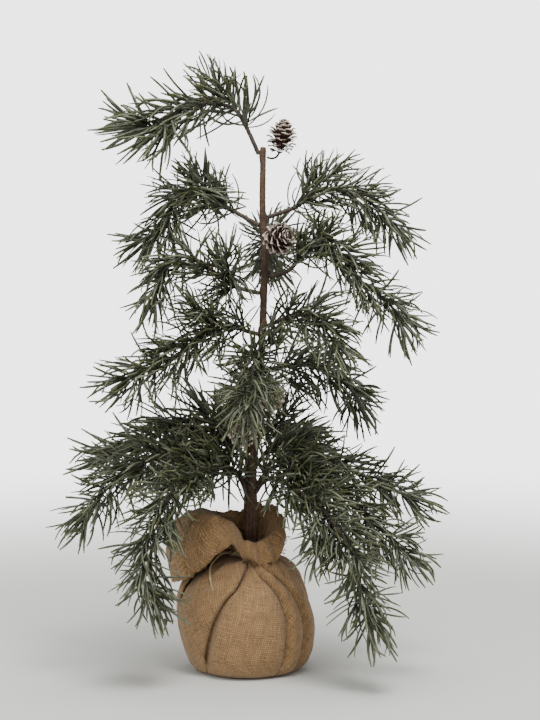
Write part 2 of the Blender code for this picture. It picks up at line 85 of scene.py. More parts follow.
class FoliageSettings(bpy.types.PropertyGroup):
    """Needles and the twigs that carry them."""

    needle_width: size("Needle width", "Across a needle's middle", 1.9 * MM)
    needle_length: size("Needle length", "Of a needle on the smallest sprays", 41 * MM)
    needle_pitch: size("Needle pitch", "Along a twig, from one needle to the next", 1.7 * MM)
    twig_spacing: size("Twig spacing", "Along a branch, from one side twig to the next", 11 * MM)
    twig_length: size("Twig length", "Of a side twig near the trunk", 16 * MM)
    twig_radius: size("Twig radius", "Of a side twig", 0.9 * MM)
    green: colour("Needle green", "The moulded needle's own colour", "#2a2e17")
    olive: colour("Needle tip", "The lighter green of needle tips and edges", "#6b6c3a")
    frost: colour("Frost", "The grey-green bloom sprayed on the needles", "#8d9281")


class TapeSettings(bpy.types.PropertyGroup):
    """The paper tape wound on the trunk and the branches."""

    pitch: size("Winding pitch", "From one turn of tape to the next", 9 * MM)
    lap: size("Lap height", "How far a turn's edge stands up", 0.28 * MM)
    trunk: colour("Trunk tape", "Brown paper tape", "#4c3626")
    branch: colour("Branch tape", "Dark brown-green paper tape", "#3d3226")


class ConeSettings(bpy.types.PropertyGroup):
    """The small larch cones."""

    scales: IntProperty(name="Scales", description="On each cone", default=52, min=8, max=200)
    brown: colour("Scale brown", "The dark red-brown scale", "#4a2c22")
    frost: colour("Scale frost", "The cream bloom on the scales' edges", "#d9cbbd")


class ClothSettings(bpy.types.PropertyGroup):
    """The burlap square and the twine round its neck."""

    thread_pitch: size("Thread pitch", "From one burlap thread to the next", 2.0 * MM)
    thickness: size("Cloth thickness", "Of the burlap", 1.0 * MM)
    straw: colour("Burlap", "The jute thread's colour", "#9a7850")
    gap: colour("Burlap gap", "The shade between threads", "#2f2011")
    twine: colour("Twine", "The pale twisted twine", "#c9b48c")


class StudioSettings(bpy.types.PropertyGroup):
    """The floor, the light and the camera."""

    distance: size("Camera distance", "From the tree's middle", 2.2)
    wall: size("Floor reach", "From the trunk to where the floor fades into the backdrop", 1.05)
    floor: colour("Floor", "Pale studio paper", "#c9c9c4")


def add(tree, kind, inputs=None, **settings):
    """Adds a node, sets its properties, and gives each input a value or links it to a socket or several."""
    made = tree.nodes.new(kind)
    for name, value in settings.items():
        setattr(made, name, value)
    for key, value in (inputs or {}).items():
        socket = made.inputs[key]
        if isinstance(value, bpy.types.NodeSocket):
            tree.links.new(value, socket)
        elif isinstance(value, list):
            for one in value:
                tree.links.new(one, socket)
        else:
            socket.default_value = value
    return made


# Nodes that are used many times, each giving its output


def maths(tree, operation, *values):
    return add(tree, "ShaderNodeMath", dict(enumerate(values)), operation=operation).outputs[0]


def vectors(tree, operation, *values):
    return add(tree, "ShaderNodeVectorMath", dict(enumerate(values)), operation=operation).outputs[0]


def scaled(tree, vector, scale):
    return add(tree, "ShaderNodeVectorMath", {0: vector, "Scale": scale}, operation="SCALE").outputs[0]


def ranged(tree, value, source=(0.0, 1.0), target=(0.0, 1.0)):
    """A value carried from its source range to a target range."""
    return add(tree, "ShaderNodeMapRange", {"Value": value, "From Min": source[0], "From Max": source[1],
                                            "To Min": target[0], "To Max": target[1]}).outputs[0]


def blend(tree, factor, first, second):
    """A mix of two colours, each a socket or three numbers."""
    pair = [c if isinstance(c, bpy.types.NodeSocket) else (*c, 1) for c in (first, second)]
    return add(tree, "ShaderNodeMix", {0: factor, 6: pair[0], 7: pair[1]}, data_type="RGBA").outputs[2]


def grain_at(tree, place, pitch, detail=2.0):
    """Noise whose features are about a pitch apart."""
    return add(tree, "ShaderNodeTexNoise",
               {"Vector": place, "Scale": 1 / pitch, "Detail": detail}).outputs["Fac"]


def chance(tree, index, low, high, seed):
    """A random number for each index."""
    return add(tree, "FunctionNodeRandomValue", {2: low, 3: high, "ID": index, "Seed": seed},
               data_type="FLOAT").outputs[1]


def store(tree, geometry, name, value, domain="POINT"):
    return add(tree, "GeometryNodeStoreNamedAttribute", {"Geometry": geometry, "Name": name, "Value": value},
               data_type="FLOAT", domain=domain).outputs[0]


def stored_value(tree, name):
    return add(tree, "GeometryNodeInputNamedAttribute", {"Name": name}, data_type="FLOAT").outputs[0]


def turn_about(tree, axis, angle):
    return add(tree, "FunctionNodeAxisAngleToRotation", {"Axis": axis, "Angle": angle}).outputs[0]


def turn_then(tree, first, second):
    """One rotation, and then another about the turned axes."""
    return add(tree, "FunctionNodeRotateRotation", {0: first, 1: second}, rotation_space="LOCAL").outputs[0]


def painted_with(tree, geometry, material):
    return add(tree, "GeometryNodeSetMaterial", {"Geometry": geometry, "Material": material}).outputs[0]


def ended(tree, geometry, material=None):
    """A geometry tree, ended: its geometry made real, painted if a material is given, and smooth."""
    real = add(tree, "GeometryNodeRealizeInstances", {0: geometry}).outputs[0]
    if material:
        real = painted_with(tree, real, material)
    smooth = add(tree, "GeometryNodeSetShadeSmooth", {0: real}).outputs[0]
    add(tree, "NodeGroupOutput", {0: smooth})
    return tree


# Materials


def dress(shader, tone, roughness, relief):
    """Gives a shader its colour, its roughness and its relief, as (height, strength, distance)."""
    tree = shader.id_data
    height, strength, distance = relief
    bump = add(tree, "ShaderNodeBump", {"Height": height, "Strength": strength, "Distance": distance})
    tree.links.new(tone, shader.inputs["Base Color"])
    tree.links.new(bump.outputs[0], shader.inputs["Normal"])
    if isinstance(roughness, bpy.types.NodeSocket):
        tree.links.new(roughness, shader.inputs["Roughness"])
    else:
        shader.inputs["Roughness"].default_value = roughness


def new_material(name):
    """(material, its tree, its Principled shader, object coordinates)"""
    made = bpy.data.materials.new(name)
    made.use_nodes = True
    tree = made.node_tree
    place = add(tree, "ShaderNodeTexCoord").outputs["Object"]
    return made, tree, tree.nodes["Principled BSDF"], place


def frosted_polyethylene(settings):
    """Injection-moulded polyethylene needles with a sprayed frost: a dull waxy green that goes
    grey-white in patches, and olive at the tips where the frost missed."""
    made, tree, shader, place = new_material("frosted_polyethylene")
    tone = add(tree, "ShaderNodeAttribute", attribute_name="tone").outputs["Fac"]
    along = add(tree, "ShaderNodeAttribute", attribute_name="along").outputs["Fac"]
    patches = grain_at(tree, place, 14 * MM, 3.0)
    speckle = grain_at(tree, place, 1.6 * MM, 2.0)
    body = blend(tree, tone, settings.green, linear("#3b4029"))
    tip = ranged(tree, along, (0.5, 1.0), (0.0, 0.4))
    tipped = blend(tree, tip, body, settings.olive)
    cover = add(tree, "ShaderNodeMix", {0: 0.3, 2: patches, 3: speckle}).outputs[0]
    frosted = ranged(tree, cover, (0.46, 0.66), (0.0, 0.55))
    coat = blend(tree, frosted, tipped, settings.frost)
    rough = ranged(tree, frosted, target=(0.42, 0.8))
    dress(shader, coat, rough, (speckle, 0.25, 0.1 * MM))
    shader.inputs["IOR"].default_value = 1.5
    return made


def crepe_paper_tape(name, tint):
    """Crepe paper floral tape, waxed and stretched as it is wound: matt, with fine cross wrinkles
    and painted shade: a darker line at the foot of each turn's raised edge, where it laps the last."""
    made, tree, shader, place = new_material(name)
    lap = add(tree, "ShaderNodeAttribute", attribute_name="lap").outputs["Fac"]
    wrinkle = grain_at(tree, place, 1.1 * MM, 3.0)
    stain = grain_at(tree, place, 9 * MM, 2.0)
    dark = tuple(0.45 * c for c in tint)
    light = tuple(min(1.0, 1.7 * c + 0.01) for c in tint)
    shade = maths(tree, "MULTIPLY", stain, wrinkle)
    spread = ranged(tree, shade, (0.12, 0.42))
    mottled = blend(tree, spread, dark, light)
    # Painted shade: the tape darkens at the foot of each turn's raised edge, where the last turn laps over it
    edge = ranged(tree, lap, (0.0, 0.35), (0.7, 0.0))
    painted_lap_shade = blend(tree, edge, mottled, dark)
    dress(shader, painted_lap_shade, 0.78, (wrinkle, 0.6, 0.25 * MM))
    return made


def frosted_cone_scale(settings):
    """Dried larch cone scales: thin, woody, dark red-brown, dusted cream on their outer edges."""
    made, tree, shader, place = new_material("frosted_cone_scale")
    edge = add(tree, "ShaderNodeAttribute", attribute_name="edge").outputs["Fac"]
    grain = grain_at(tree, place, 0.9 * MM, 3.0)
    broad = grain_at(tree, place, 6 * MM, 1.0)
    dark = tuple(0.4 * c for c in settings.brown)
    wood = blend(tree, grain, dark, settings.brown)
    ragged = maths(tree, "MULTIPLY_ADD", grain, 0.55, edge)
    varied = maths(tree, "MULTIPLY_ADD", broad, 0.5, ragged)
    dusted = ranged(tree, varied, (1.0, 1.35), (0.0, 0.92))
    coat = blend(tree, dusted, wood, settings.frost)
    dress(shader, coat, 0.72, (grain, 0.5, 0.2 * MM))
    return made


def woven_burlap(settings):
    """Plain-woven jute: round, hairy threads over and under each other, some thick and some thin,
    with painted shade darkening their flanks into the gaps between them. The thread grid lies in the cloth's
    flat UV map, in metres."""
    made, tree, shader, _ = new_material("woven_burlap")
    flat = add(tree, "ShaderNodeUVMap", uv_map="cloth").outputs[0]
    wander = add(tree, "ShaderNodeTexNoise",
                 {"Vector": flat, "Scale": 1 / (18 * MM), "Detail": 2.0}).outputs["Color"]
    shift = vectors(tree, "MULTIPLY", wander, (0.0032, 0.0032, 0.0))
    laid = vectors(tree, "ADD", flat, shift)
    count = scaled(tree, laid, 1 / settings.thread_pitch)
    parts = add(tree, "ShaderNodeSeparateXYZ", {0: count})
    cells = vectors(tree, "FLOOR", count)
    cell = add(tree, "ShaderNodeSeparateXYZ", {0: cells})
    total = maths(tree, "ADD", cell.outputs["X"], cell.outputs["Y"])
    over = maths(tree, "PINGPONG", total, 1.0)
    heights, tints = [], []
    for thread, other, up in (("X", "Y", True), ("Y", "X", False)):
        turn = maths(tree, "MULTIPLY", parts.outputs[thread], math.pi)
        wave = maths(tree, "SINE", turn)
        round_top = maths(tree, "ABSOLUTE", wave)
        lift = ranged(tree, over, target=(0.55 if up else 1.0, 1.0 if up else 0.55))
        heights.append(maths(tree, "MULTIPLY", round_top, lift))
        slow = maths(tree, "MULTIPLY", parts.outputs[other], 0.12)
        spot = add(tree, "ShaderNodeCombineXYZ",
                   {0: cell.outputs[thread], 1: slow, 2: 3.7 if up else 8.1}).outputs[0]
        tints.append(add(tree, "ShaderNodeTexNoise",
                         {"Vector": spot, "Scale": 1.0, "Detail": 1.0}).outputs["Fac"])
    height = maths(tree, "MAXIMUM", heights[0], heights[1])
    which = maths(tree, "GREATER_THAN", heights[0], heights[1])
    tint = add(tree, "ShaderNodeMix", {0: which, 2: tints[1], 3: tints[0]}).outputs[0]
    fibre = grain_at(tree, flat, 0.7 * MM, 2.0)
    mixed = maths(tree, "MULTIPLY_ADD", fibre, 0.45, tint)
    pale = tuple(min(1.0, 1.35 * c) for c in settings.straw)
    deep = tuple(0.62 * c for c in settings.straw)
    tinted = ranged(tree, mixed, (0.5, 0.95))
    thread = blend(tree, tinted, deep, pale)
    # Painted shade: the threads darken to the gap colour where their relief falls away, down their flanks and
    # in the gaps between them
    painted_gap_shade = ranged(tree, height, (0.12, 0.6), (1.0, 0.0))
    cloth = blend(tree, painted_gap_shade, thread, settings.gap)
    surface = maths(tree, "MULTIPLY_ADD", fibre, 0.3, height)
    dress(shader, cloth, 0.92, (surface, 0.7, 0.6 * MM))
    shader.inputs["Sheen Weight"].default_value = 0.15
    return made


def twisted_jute(name, tint):
    """Three-ply jute twine: pale, dry and hairy, darker in random patches."""
    made, tree, shader, place = new_material(name)
    fibre = grain_at(tree, place, 0.5 * MM, 3.0)
    broad = grain_at(tree, place, 5 * MM)
    both = maths(tree, "MULTIPLY", fibre, broad)
    spread = ranged(tree, both, (0.12, 0.4))
    deep = tuple(0.5 * c for c in tint)
    hair = blend(tree, spread, deep, tint)
    dress(shader, hair, 0.9, (fibre, 0.6, 0.2 * MM))
    return made


def drawn_steel():
    """Bright drawn steel wire: fine lines run along it."""
    made, tree, shader, place = new_material("drawn_steel")
    stretch = add(tree, "ShaderNodeMapping", {"Vector": place, "Scale": (1.0, 1.0, 0.02)}).outputs[0]
    lines = grain_at(tree, stretch, 0.3 * MM)
    tone = blend(tree, lines, linear("#8c8a86"), linear("#b9b7b2"))
    rough = ranged(tree, lines, target=(0.25, 0.45))
    tree.links.new(tone, shader.inputs["Base Color"])
    tree.links.new(rough, shader.inputs["Roughness"])
    shader.inputs["Metallic"].default_value = 1.0
    return made


def moulded_polypropylene():
    """Thin injection-moulded polypropylene pot: near-black with a faint orange-peel surface."""
    made, tree, shader, place = new_material("moulded_polypropylene")
    peel = grain_at(tree, place, 1.5 * MM, 2.0)
    dust = grain_at(tree, place, 20 * MM, 3.0)
    tone = blend(tree, dust, linear("#191a1a"), linear("#2c2d2c"))
    dress(shader, tone, 0.45, (peel, 0.2, 0.1 * MM))
    shader.inputs["IOR"].default_value = 1.49
    return made


def cast_cement():
    """Cement cast in the pot: pale grey, chalky, with sand grains and pin holes."""
    made, tree, shader, place = new_material("cast_cement")
    sand = grain_at(tree, place, 0.8 * MM, 4.0)
    cloud = grain_at(tree, place, 25 * MM, 3.0)
    pits = add(tree, "ShaderNodeTexVoronoi", {"Vector": place, "Scale": 1 / (4 * MM)}).outputs["Distance"]
    both = maths(tree, "MULTIPLY", sand, cloud)
    spread = ranged(tree, both, (0.1, 0.45))
    tone = blend(tree, spread, linear("#7f7d78"), linear("#bdbab2"))
    hole = ranged(tree, pits, (0.0, 0.2))
    rough_face = maths(tree, "MULTIPLY_ADD", sand, 0.3, hole)
    dress(shader, tone, 0.93, (rough_face, 0.6, 0.5 * MM))
    return made


def studio_paper(tint, plain, reach):
    """Background paper: matt, with a very faint mottle. It is plain out to one radius, and from there to
    its edge it thins away into the backdrop."""
    made, tree, shader, place = new_material("studio_paper")
    mottle = add(tree, "ShaderNodeTexNoise", {"Vector": place, "Scale": 3.0, "Detail": 4.0}).outputs["Fac"]
    lower = tuple(0.96 * c for c in tint)
    tone = blend(tree, mottle, lower, tint)
    tree.links.new(tone, shader.inputs["Base Color"])
    shader.inputs["Roughness"].default_value = 0.95
    away = add(tree, "ShaderNodeVectorMath", {0: place}, operation="LENGTH").outputs["Value"]
    thin = add(tree, "ShaderNodeMapRange", {"Value": away, "From Min": 0.4 * plain, "From Max": reach,
                                            "To Min": 1.0, "To Max": 0.0},
               interpolation_type="SMOOTHSTEP").outputs[0]
    tree.links.new(thin, shader.inputs["Alpha"])
    return made


# Reading the frame


def centreline(node, short_edge, start):
    """The line down the middle of a CAD rod, from start on, with the lone points that stand off it.

    The rod's solid is rings of short edges, and each ring gives a point of the line.
    """
    bm = bmesh.new()
    bm.from_mesh(frame["nodes"][node].data)
    bmesh.ops.remove_doubles(bm, verts=bm.verts, dist=1e-6)
    seen, centres, lone = set(), [], []
    for vert in bm.verts:
        if vert in seen:
            continue
        ring, edge_of_ring = {vert}, [vert]
        while edge_of_ring:
            here = edge_of_ring.pop()
            for edge in here.link_edges:
                other = edge.other_vert(here)
                if other not in ring and edge.calc_length() < short_edge:
                    ring.add(other)
                    edge_of_ring.append(other)
        seen |= ring
        middle = sum((v.co for v in ring), Vector()) / len(ring)
        if len(ring) < 4:
            lone += [v.co.copy() for v in ring]
        elif all((middle - c).length > MM for c in centres):
            centres.append(middle)
    bm.free()
    line = [Vector(start)]
    while centres:
        nearest = min(centres, key=lambda c: (c - line[-1]).length)
        centres.remove(nearest)
        line.append(nearest)
    return line, lone


def along_line(line, distance):
    """(point, direction) at a distance along a line of points."""
    for a, b in zip(line, line[1:]):
        span = (b - a).length
        if distance <= span:
            break
        distance -= span
    else:
        distance = span
    return a.lerp(b, distance / span), (b - a).normalized()


def line_length(line):
    return sum((b - a).length for a, b in zip(line, line[1:]))


def smoothed(line, step):
    """Points about a step apart on a Catmull-Rom curve through a line's points."""
    padded = [2 * line[0] - line[1], *line, 2 * line[-1] - line[-2]]
    fine = [line[0]]
    for a, b, c, d in zip(padded, padded[1:], padded[2:], padded[3:]):
        parts = max(2, math.ceil((c - b).length / step))
        for i in range(1, parts + 1):
            t = i / parts
            fine.append(0.5 * (2 * b + (c - a) * t + (2 * a - 5 * b + 4 * c - d) * t * t
                               + (3 * b - 3 * c + d - a) * t ** 3))
    return fine


def headed(heading):
    """The outward unit vector at a heading in degrees: 0 is +X and 90 is +Y."""
    return Vector((math.cos(math.radians(heading)), math.sin(math.radians(heading)), 0))


def branches():
    """(body, name, hinge) of each branch, and the same of each cone."""
    found = [(j["child"], Vector(j["pos_m"])) for j in frame["joints"]]
    limbs = [(body, body.removesuffix("_branch"), at) for body, at in found if body.endswith("_branch")]
    cones = [(body, body, at) for body, at in found if body.endswith("_cone")]
    return limbs, cones


# Making meshes


def mesh_object(name, mesh):
    obj = bpy.data.objects.new(name, mesh)
    bpy.context.scene.collection.objects.link(obj)
    return obj


def lines_object(name, runs):
    """An object of open lines. Each run is (points, {attribute: value or one value for each point})."""
    mesh = bpy.data.meshes.new(name)
    verts, edges, values = [], [], {}
    for points, attributes in runs:
        first = len(verts)
        verts += [tuple(p) for p in points]
        edges += [(first + i, first + i + 1) for i in range(len(points) - 1)]
        for key, value in attributes.items():
            values.setdefault(key, []).extend(value if isinstance(value, list) else [value] * len(points))
    mesh.from_pydata(verts, edges, [])
    for key, numbers in values.items():
        mesh.attributes.new(key, "FLOAT", "POINT").data.foreach_set("value", numbers)
    return mesh_object(name, mesh)


def new_tree(name, inputs):
    """(tree, its input node): a geometry tree with named inputs, given as (name, kind)."""
    tree = bpy.data.node_groups.new(name, "GeometryNodeTree")
    tree.interface.new_socket("Geometry", in_out="INPUT", socket_type="NodeSocketGeometry")
    for label, kind in inputs:
        tree.interface.new_socket(label, in_out="INPUT", socket_type=kind)
    tree.interface.new_socket("Geometry", in_out="OUTPUT", socket_type="NodeSocketGeometry")
    return tree, add(tree, "NodeGroupInput")


def grown(obj, tree, values):
    """The plain mesh object that a tree makes of obj, under obj's name."""
    modifier = obj.modifiers.new(tree.name, "NODES")
    modifier.node_group = tree
    for item in tree.interface.items_tree:
        if item.in_out == "INPUT" and item.name in values:
            modifier[item.identifier] = values[item.name]
    depsgraph = bpy.context.evaluated_depsgraph_get()
    mesh = bpy.data.meshes.new_from_object(obj.evaluated_get(depsgraph), preserve_all_data_layers=True,
                                           depsgraph=depsgraph)
    name = obj.name
    obj.modifiers.clear()
    bpy.data.objects.remove(obj)
    if not mesh.polygons:
        raise RuntimeError(f"{name}: its tree made no faces")
    mesh.name = name
    if mesh.materials[0] is None:
        mesh.materials.pop(index=0)
    return mesh_object(name, mesh)


TYPICAL_NEEDLE = 42 * MM  # the length at which a needle is as wide as its setting says
# A needle's middle and end, as (forward, along) shares of its length
NEEDLE_BENDS = (((-0.05, 0.5), (0.03, 1.0)), ((-0.09, 0.5), (0.14, 0.97)), ((-0.11, 0.55), (0.26, 0.92)),
                ((0.03, 0.5), (-0.12, 0.98)), ((-0.08, 0.62), (0.45, 0.76)))


def needle_tree(needle_material, bark_material):
    """Twig lines to bark and needles. A needle leans forward, most at its twig's end."""
    tree, given = new_tree("needle_sprays", (
        ("Needle width", "NodeSocketFloat"), ("Needle pitch", "NodeSocketFloat"),
        ("Seed", "NodeSocketInt")))
    twigs = add(tree, "GeometryNodeMeshToCurve", {0: given.outputs["Geometry"]}).outputs[0]
    # The needle, one long: a blunt strap that leaves its twig outwards and curves forward, towards +Y
    shapes = []
    for middle, end in NEEDLE_BENDS:
        blade = add(tree, "GeometryNodeCurveQuadraticBezier",
                    {"Resolution": 6, "Start": (0, 0, 0), "Middle": (0, *middle),
                     "End": (0, *end)}).outputs[0]
        share = add(tree, "GeometryNodeSplineParameter").outputs["Factor"]
        marked = store(tree, blade, "along", share)
        taper = maths(tree, "POWER", share, 12.0)
        slim = maths(tree, "SUBTRACT", 1.0, taper)
        foot = ranged(tree, share, (0.0, 0.3), (0.7, 1.0))
        least = maths(tree, "MAXIMUM", maths(tree, "MULTIPLY", slim, foot), 0.5)
        flat = add(tree, "GeometryNodeCurvePrimitiveQuadrilateral", {"Width": 1.0, "Height": 0.72}).outputs[0]
        # The blade is one long, so its width here is the real width over a typical length
        wide = maths(tree, "MULTIPLY", given.outputs["Needle width"], 1 / TYPICAL_NEEDLE)
        section = add(tree, "GeometryNodeTransform", {"Geometry": flat, "Scale": wide}).outputs[0]
        solid = add(tree, "GeometryNodeCurveToMesh",
                    {"Curve": marked, "Profile Curve": section, "Scale": least, "Fill Caps": True}).outputs[0]
        shapes.append(add(tree, "GeometryNodeGeometryToInstance", {0: solid}).outputs[0])
    needles = add(tree, "GeometryNodeJoinGeometry", {0: shapes}).outputs[0]
    # Where the needles stand
    steps = add(tree, "GeometryNodeResampleCurve", {"Curve": twigs, "Length": given.outputs["Needle pitch"]},
                mode="LENGTH").outputs[0]
    so_far = add(tree, "GeometryNodeSplineParameter").outputs["Length"]
    total = add(tree, "GeometryNodeSplineLength").outputs["Length"]
    left = maths(tree, "SUBTRACT", total, so_far)
    placed = store(tree, steps, "left", left)
    points = add(tree, "GeometryNodeCurveToPoints", {"Curve": placed}, mode="EVALUATED")
    index = add(tree, "GeometryNodeInputIndex").outputs[0]
    at = stored_value(tree, "left")
    reach = stored_value(tree, "reach")
    jitter = chance(tree, index, -0.45, 0.45, given.outputs["Seed"])
    turn = maths(tree, "MULTIPLY_ADD", index, GOLDEN_ANGLE, jitter)
    lean = ranged(tree, at, (0.0, 20 * MM), (math.radians(26), math.radians(64)))
    sway = chance(tree, index, 0.6, 1.3, 7)
    angle = maths(tree, "MULTIPLY", lean, sway)
    round_twig = turn_about(tree, (0, 0, 1), turn)
    off_twig = turn_about(tree, (1, 0, 0), angle)
    turned = turn_then(tree, points.outputs["Rotation"], round_twig)
    leant = turn_then(tree, turned, off_twig)
    roll = chance(tree, index, -0.8, 0.8, 5)
    rolled = turn_about(tree, (0, 0, 1), roll)
    aimed = turn_then(tree, leant, rolled)
    vary = chance(tree, index, 0.8, 1.06, 11)
    long = maths(tree, "MULTIPLY", reach, vary)
    pick = add(tree, "FunctionNodeRandomValue", {4: 0, 5: 4, "ID": index, "Seed": 13},
               data_type="INT").outputs[2]
    set_out = add(tree, "GeometryNodeInstanceOnPoints",
                  {"Points": points.outputs["Points"], "Instance": needles, "Pick Instance": True,
                   "Instance Index": pick, "Rotation": aimed, "Scale": long}).outputs[0]
    shade = chance(tree, index, 0.0, 1.0, 17)
    toned = store(tree, set_out, "tone", shade, "INSTANCE")
    leaves = painted_with(tree, toned, needle_material)
    # The twigs' bark
    ring = add(tree, "GeometryNodeCurvePrimitiveCircle", {"Resolution": 7, "Radius": 1.0}).outputs[0]
    girth = stored_value(tree, "girth")
    bark = add(tree, "GeometryNodeCurveToMesh",
               {"Curve": twigs, "Profile Curve": ring, "Scale": girth, "Fill Caps": True}).outputs[0]
    wood = painted_with(tree, bark, bark_material)
    joined = add(tree, "GeometryNodeJoinGeometry", {0: [leaves, wood]}).outputs[0]
    return ended(tree, joined)


def tape_tree(material):
    """Lines to rods wound with tape: each turn laps the last and stands up at its edge."""
    tree, given = new_tree("wound_tape", (
        ("Pitch", "NodeSocketFloat"), ("Lap", "NodeSocketFloat"), ("Sides", "NodeSocketInt"),
        ("Step", "NodeSocketFloat")))
    line = add(tree, "GeometryNodeMeshToCurve", {0: given.outputs["Geometry"]}).outputs[0]
    fine = add(tree, "GeometryNodeResampleCurve", {"Curve": line, "Length": given.outputs["Step"]},
               mode="LENGTH").outputs[0]
    length = add(tree, "GeometryNodeSplineParameter").outputs["Length"]
    lengths = store(tree, fine, "run", length)
    girth = stored_value(tree, "girth")
    ring = add(tree, "GeometryNodeCurvePrimitiveCircle", {"Resolution": given.outputs["Sides"],
                                                          "Radius": 1.0}).outputs[0]
    share = add(tree, "GeometryNodeSplineParameter").outputs["Factor"]
    around = store(tree, ring, "around", share)
    rod = add(tree, "GeometryNodeCurveToMesh", {"Curve": lengths, "Profile Curve": around, "Scale": girth,
                                                "Fill Caps": True}).outputs[0]
    run = stored_value(tree, "run")
    place = stored_value(tree, "around")
    turns = maths(tree, "DIVIDE", run, given.outputs["Pitch"])
    lap = maths(tree, "FRACT", maths(tree, "ADD", turns, place))
    marked = store(tree, rod, "lap", lap)
    crumple = add(tree, "ShaderNodeTexNoise", {"Scale": 1 / (2.5 * MM), "Detail": 2.0}).outputs["Fac"]
    uneven = maths(tree, "MULTIPLY_ADD", crumple, 1.4, lap)
    lift = maths(tree, "MULTIPLY", uneven, given.outputs["Lap"])
    normal = add(tree, "GeometryNodeInputNormal").outputs[0]
    offset = scaled(tree, normal, lift)
    shaped = add(tree, "GeometryNodeSetPosition", {"Geometry": marked, "Offset": offset}).outputs[0]
    painted = painted_with(tree, shaped, material)
    return ended(tree, painted)


def cone_tree(material):
    """A cone along +Z: scales in a spiral, open at the foot and closed at the top, on a dark core."""
    tree, given = new_tree("cone_scales", (
        ("Scale shape", "NodeSocketObject"), ("Scales", "NodeSocketInt"), ("Length", "NodeSocketFloat"),
        ("Width", "NodeSocketFloat"), ("Foot", "NodeSocketVector"), ("Turn", "NodeSocketRotation"),
        ("Seed", "NodeSocketInt")))
    points = add(tree, "GeometryNodePoints", {"Count": given.outputs["Scales"]}).outputs[0]
    index = add(tree, "GeometryNodeInputIndex").outputs[0]
    share = maths(tree, "DIVIDE", index, given.outputs["Scales"])
    turn = maths(tree, "MULTIPLY", index, GOLDEN_ANGLE)
    # The core is a spindle, full a third of the way up
    full = ranged(tree, share, (0.0, 1.0), (0.5, 3.0))
    swell = maths(tree, "SINE", full)
    core = maths(tree, "MULTIPLY", swell, given.outputs["Width"])
    out = maths(tree, "MULTIPLY", core, 0.20)
    rise = maths(tree, "MULTIPLY", share, given.outputs["Length"])
    up = maths(tree, "MULTIPLY", rise, 0.74)
    cosine = maths(tree, "COSINE", turn)
    sine = maths(tree, "SINE", turn)
    x = maths(tree, "MULTIPLY", out, cosine)
    y = maths(tree, "MULTIPLY", out, sine)
    spot = add(tree, "ShaderNodeCombineXYZ", {0: x, 1: y, 2: up}).outputs[0]
    placed = add(tree, "GeometryNodeSetPosition", {"Geometry": points, "Position": spot}).outputs[0]
    quarter = maths(tree, "ADD", turn, math.pi / 2)
    round_core = turn_about(tree, (0, 0, 1), quarter)
    sway = chance(tree, index, -0.10, 0.10, given.outputs["Seed"])
    opened = ranged(tree, share, target=(math.radians(98), math.radians(12)))
    tilt = maths(tree, "ADD", opened, sway)
    # A scale leans away from the axis, which is its own -Y
    lean = turn_about(tree, (1, 0, 0), tilt)
    aimed = turn_then(tree, round_core, lean)
    broad = ranged(tree, swell, (0.0, 1.0), (0.17, 0.37))
    grown_size = maths(tree, "MULTIPLY", broad, given.outputs["Width"])
    shape = add(tree, "GeometryNodeObjectInfo", {"Object": given.outputs["Scale shape"], "As Instance": True},
                transform_space="ORIGINAL").outputs["Geometry"]
    scales = add(tree, "GeometryNodeInstanceOnPoints", {
        "Points": placed, "Instance": shape, "Rotation": aimed, "Scale": grown_size}).outputs[0]
    ball = add(tree, "GeometryNodeMeshUVSphere", {"Segments": 12, "Rings": 8, "Radius": 0.5}).outputs[0]
    thick = maths(tree, "MULTIPLY", given.outputs["Width"], 0.42)
    tall = maths(tree, "MULTIPLY", given.outputs["Length"], 0.86)
    half = maths(tree, "MULTIPLY", given.outputs["Length"], 0.43)
    core_size = add(tree, "ShaderNodeCombineXYZ", {0: thick, 1: thick, 2: tall}).outputs[0]
    core_place = add(tree, "ShaderNodeCombineXYZ", {2: half}).outputs[0]
    spindle = add(tree, "GeometryNodeTransform", {"Geometry": ball, "Translation": core_place,
                                                  "Scale": core_size}).outputs[0]
    joined = add(tree, "GeometryNodeJoinGeometry", {0: [scales, spindle]}).outputs[0]
    stood = add(tree, "GeometryNodeTransform", {"Geometry": joined, "Translation": given.outputs["Foot"],
                                                "Rotation": given.outputs["Turn"]}).outputs[0]
    return ended(tree, stood, material)


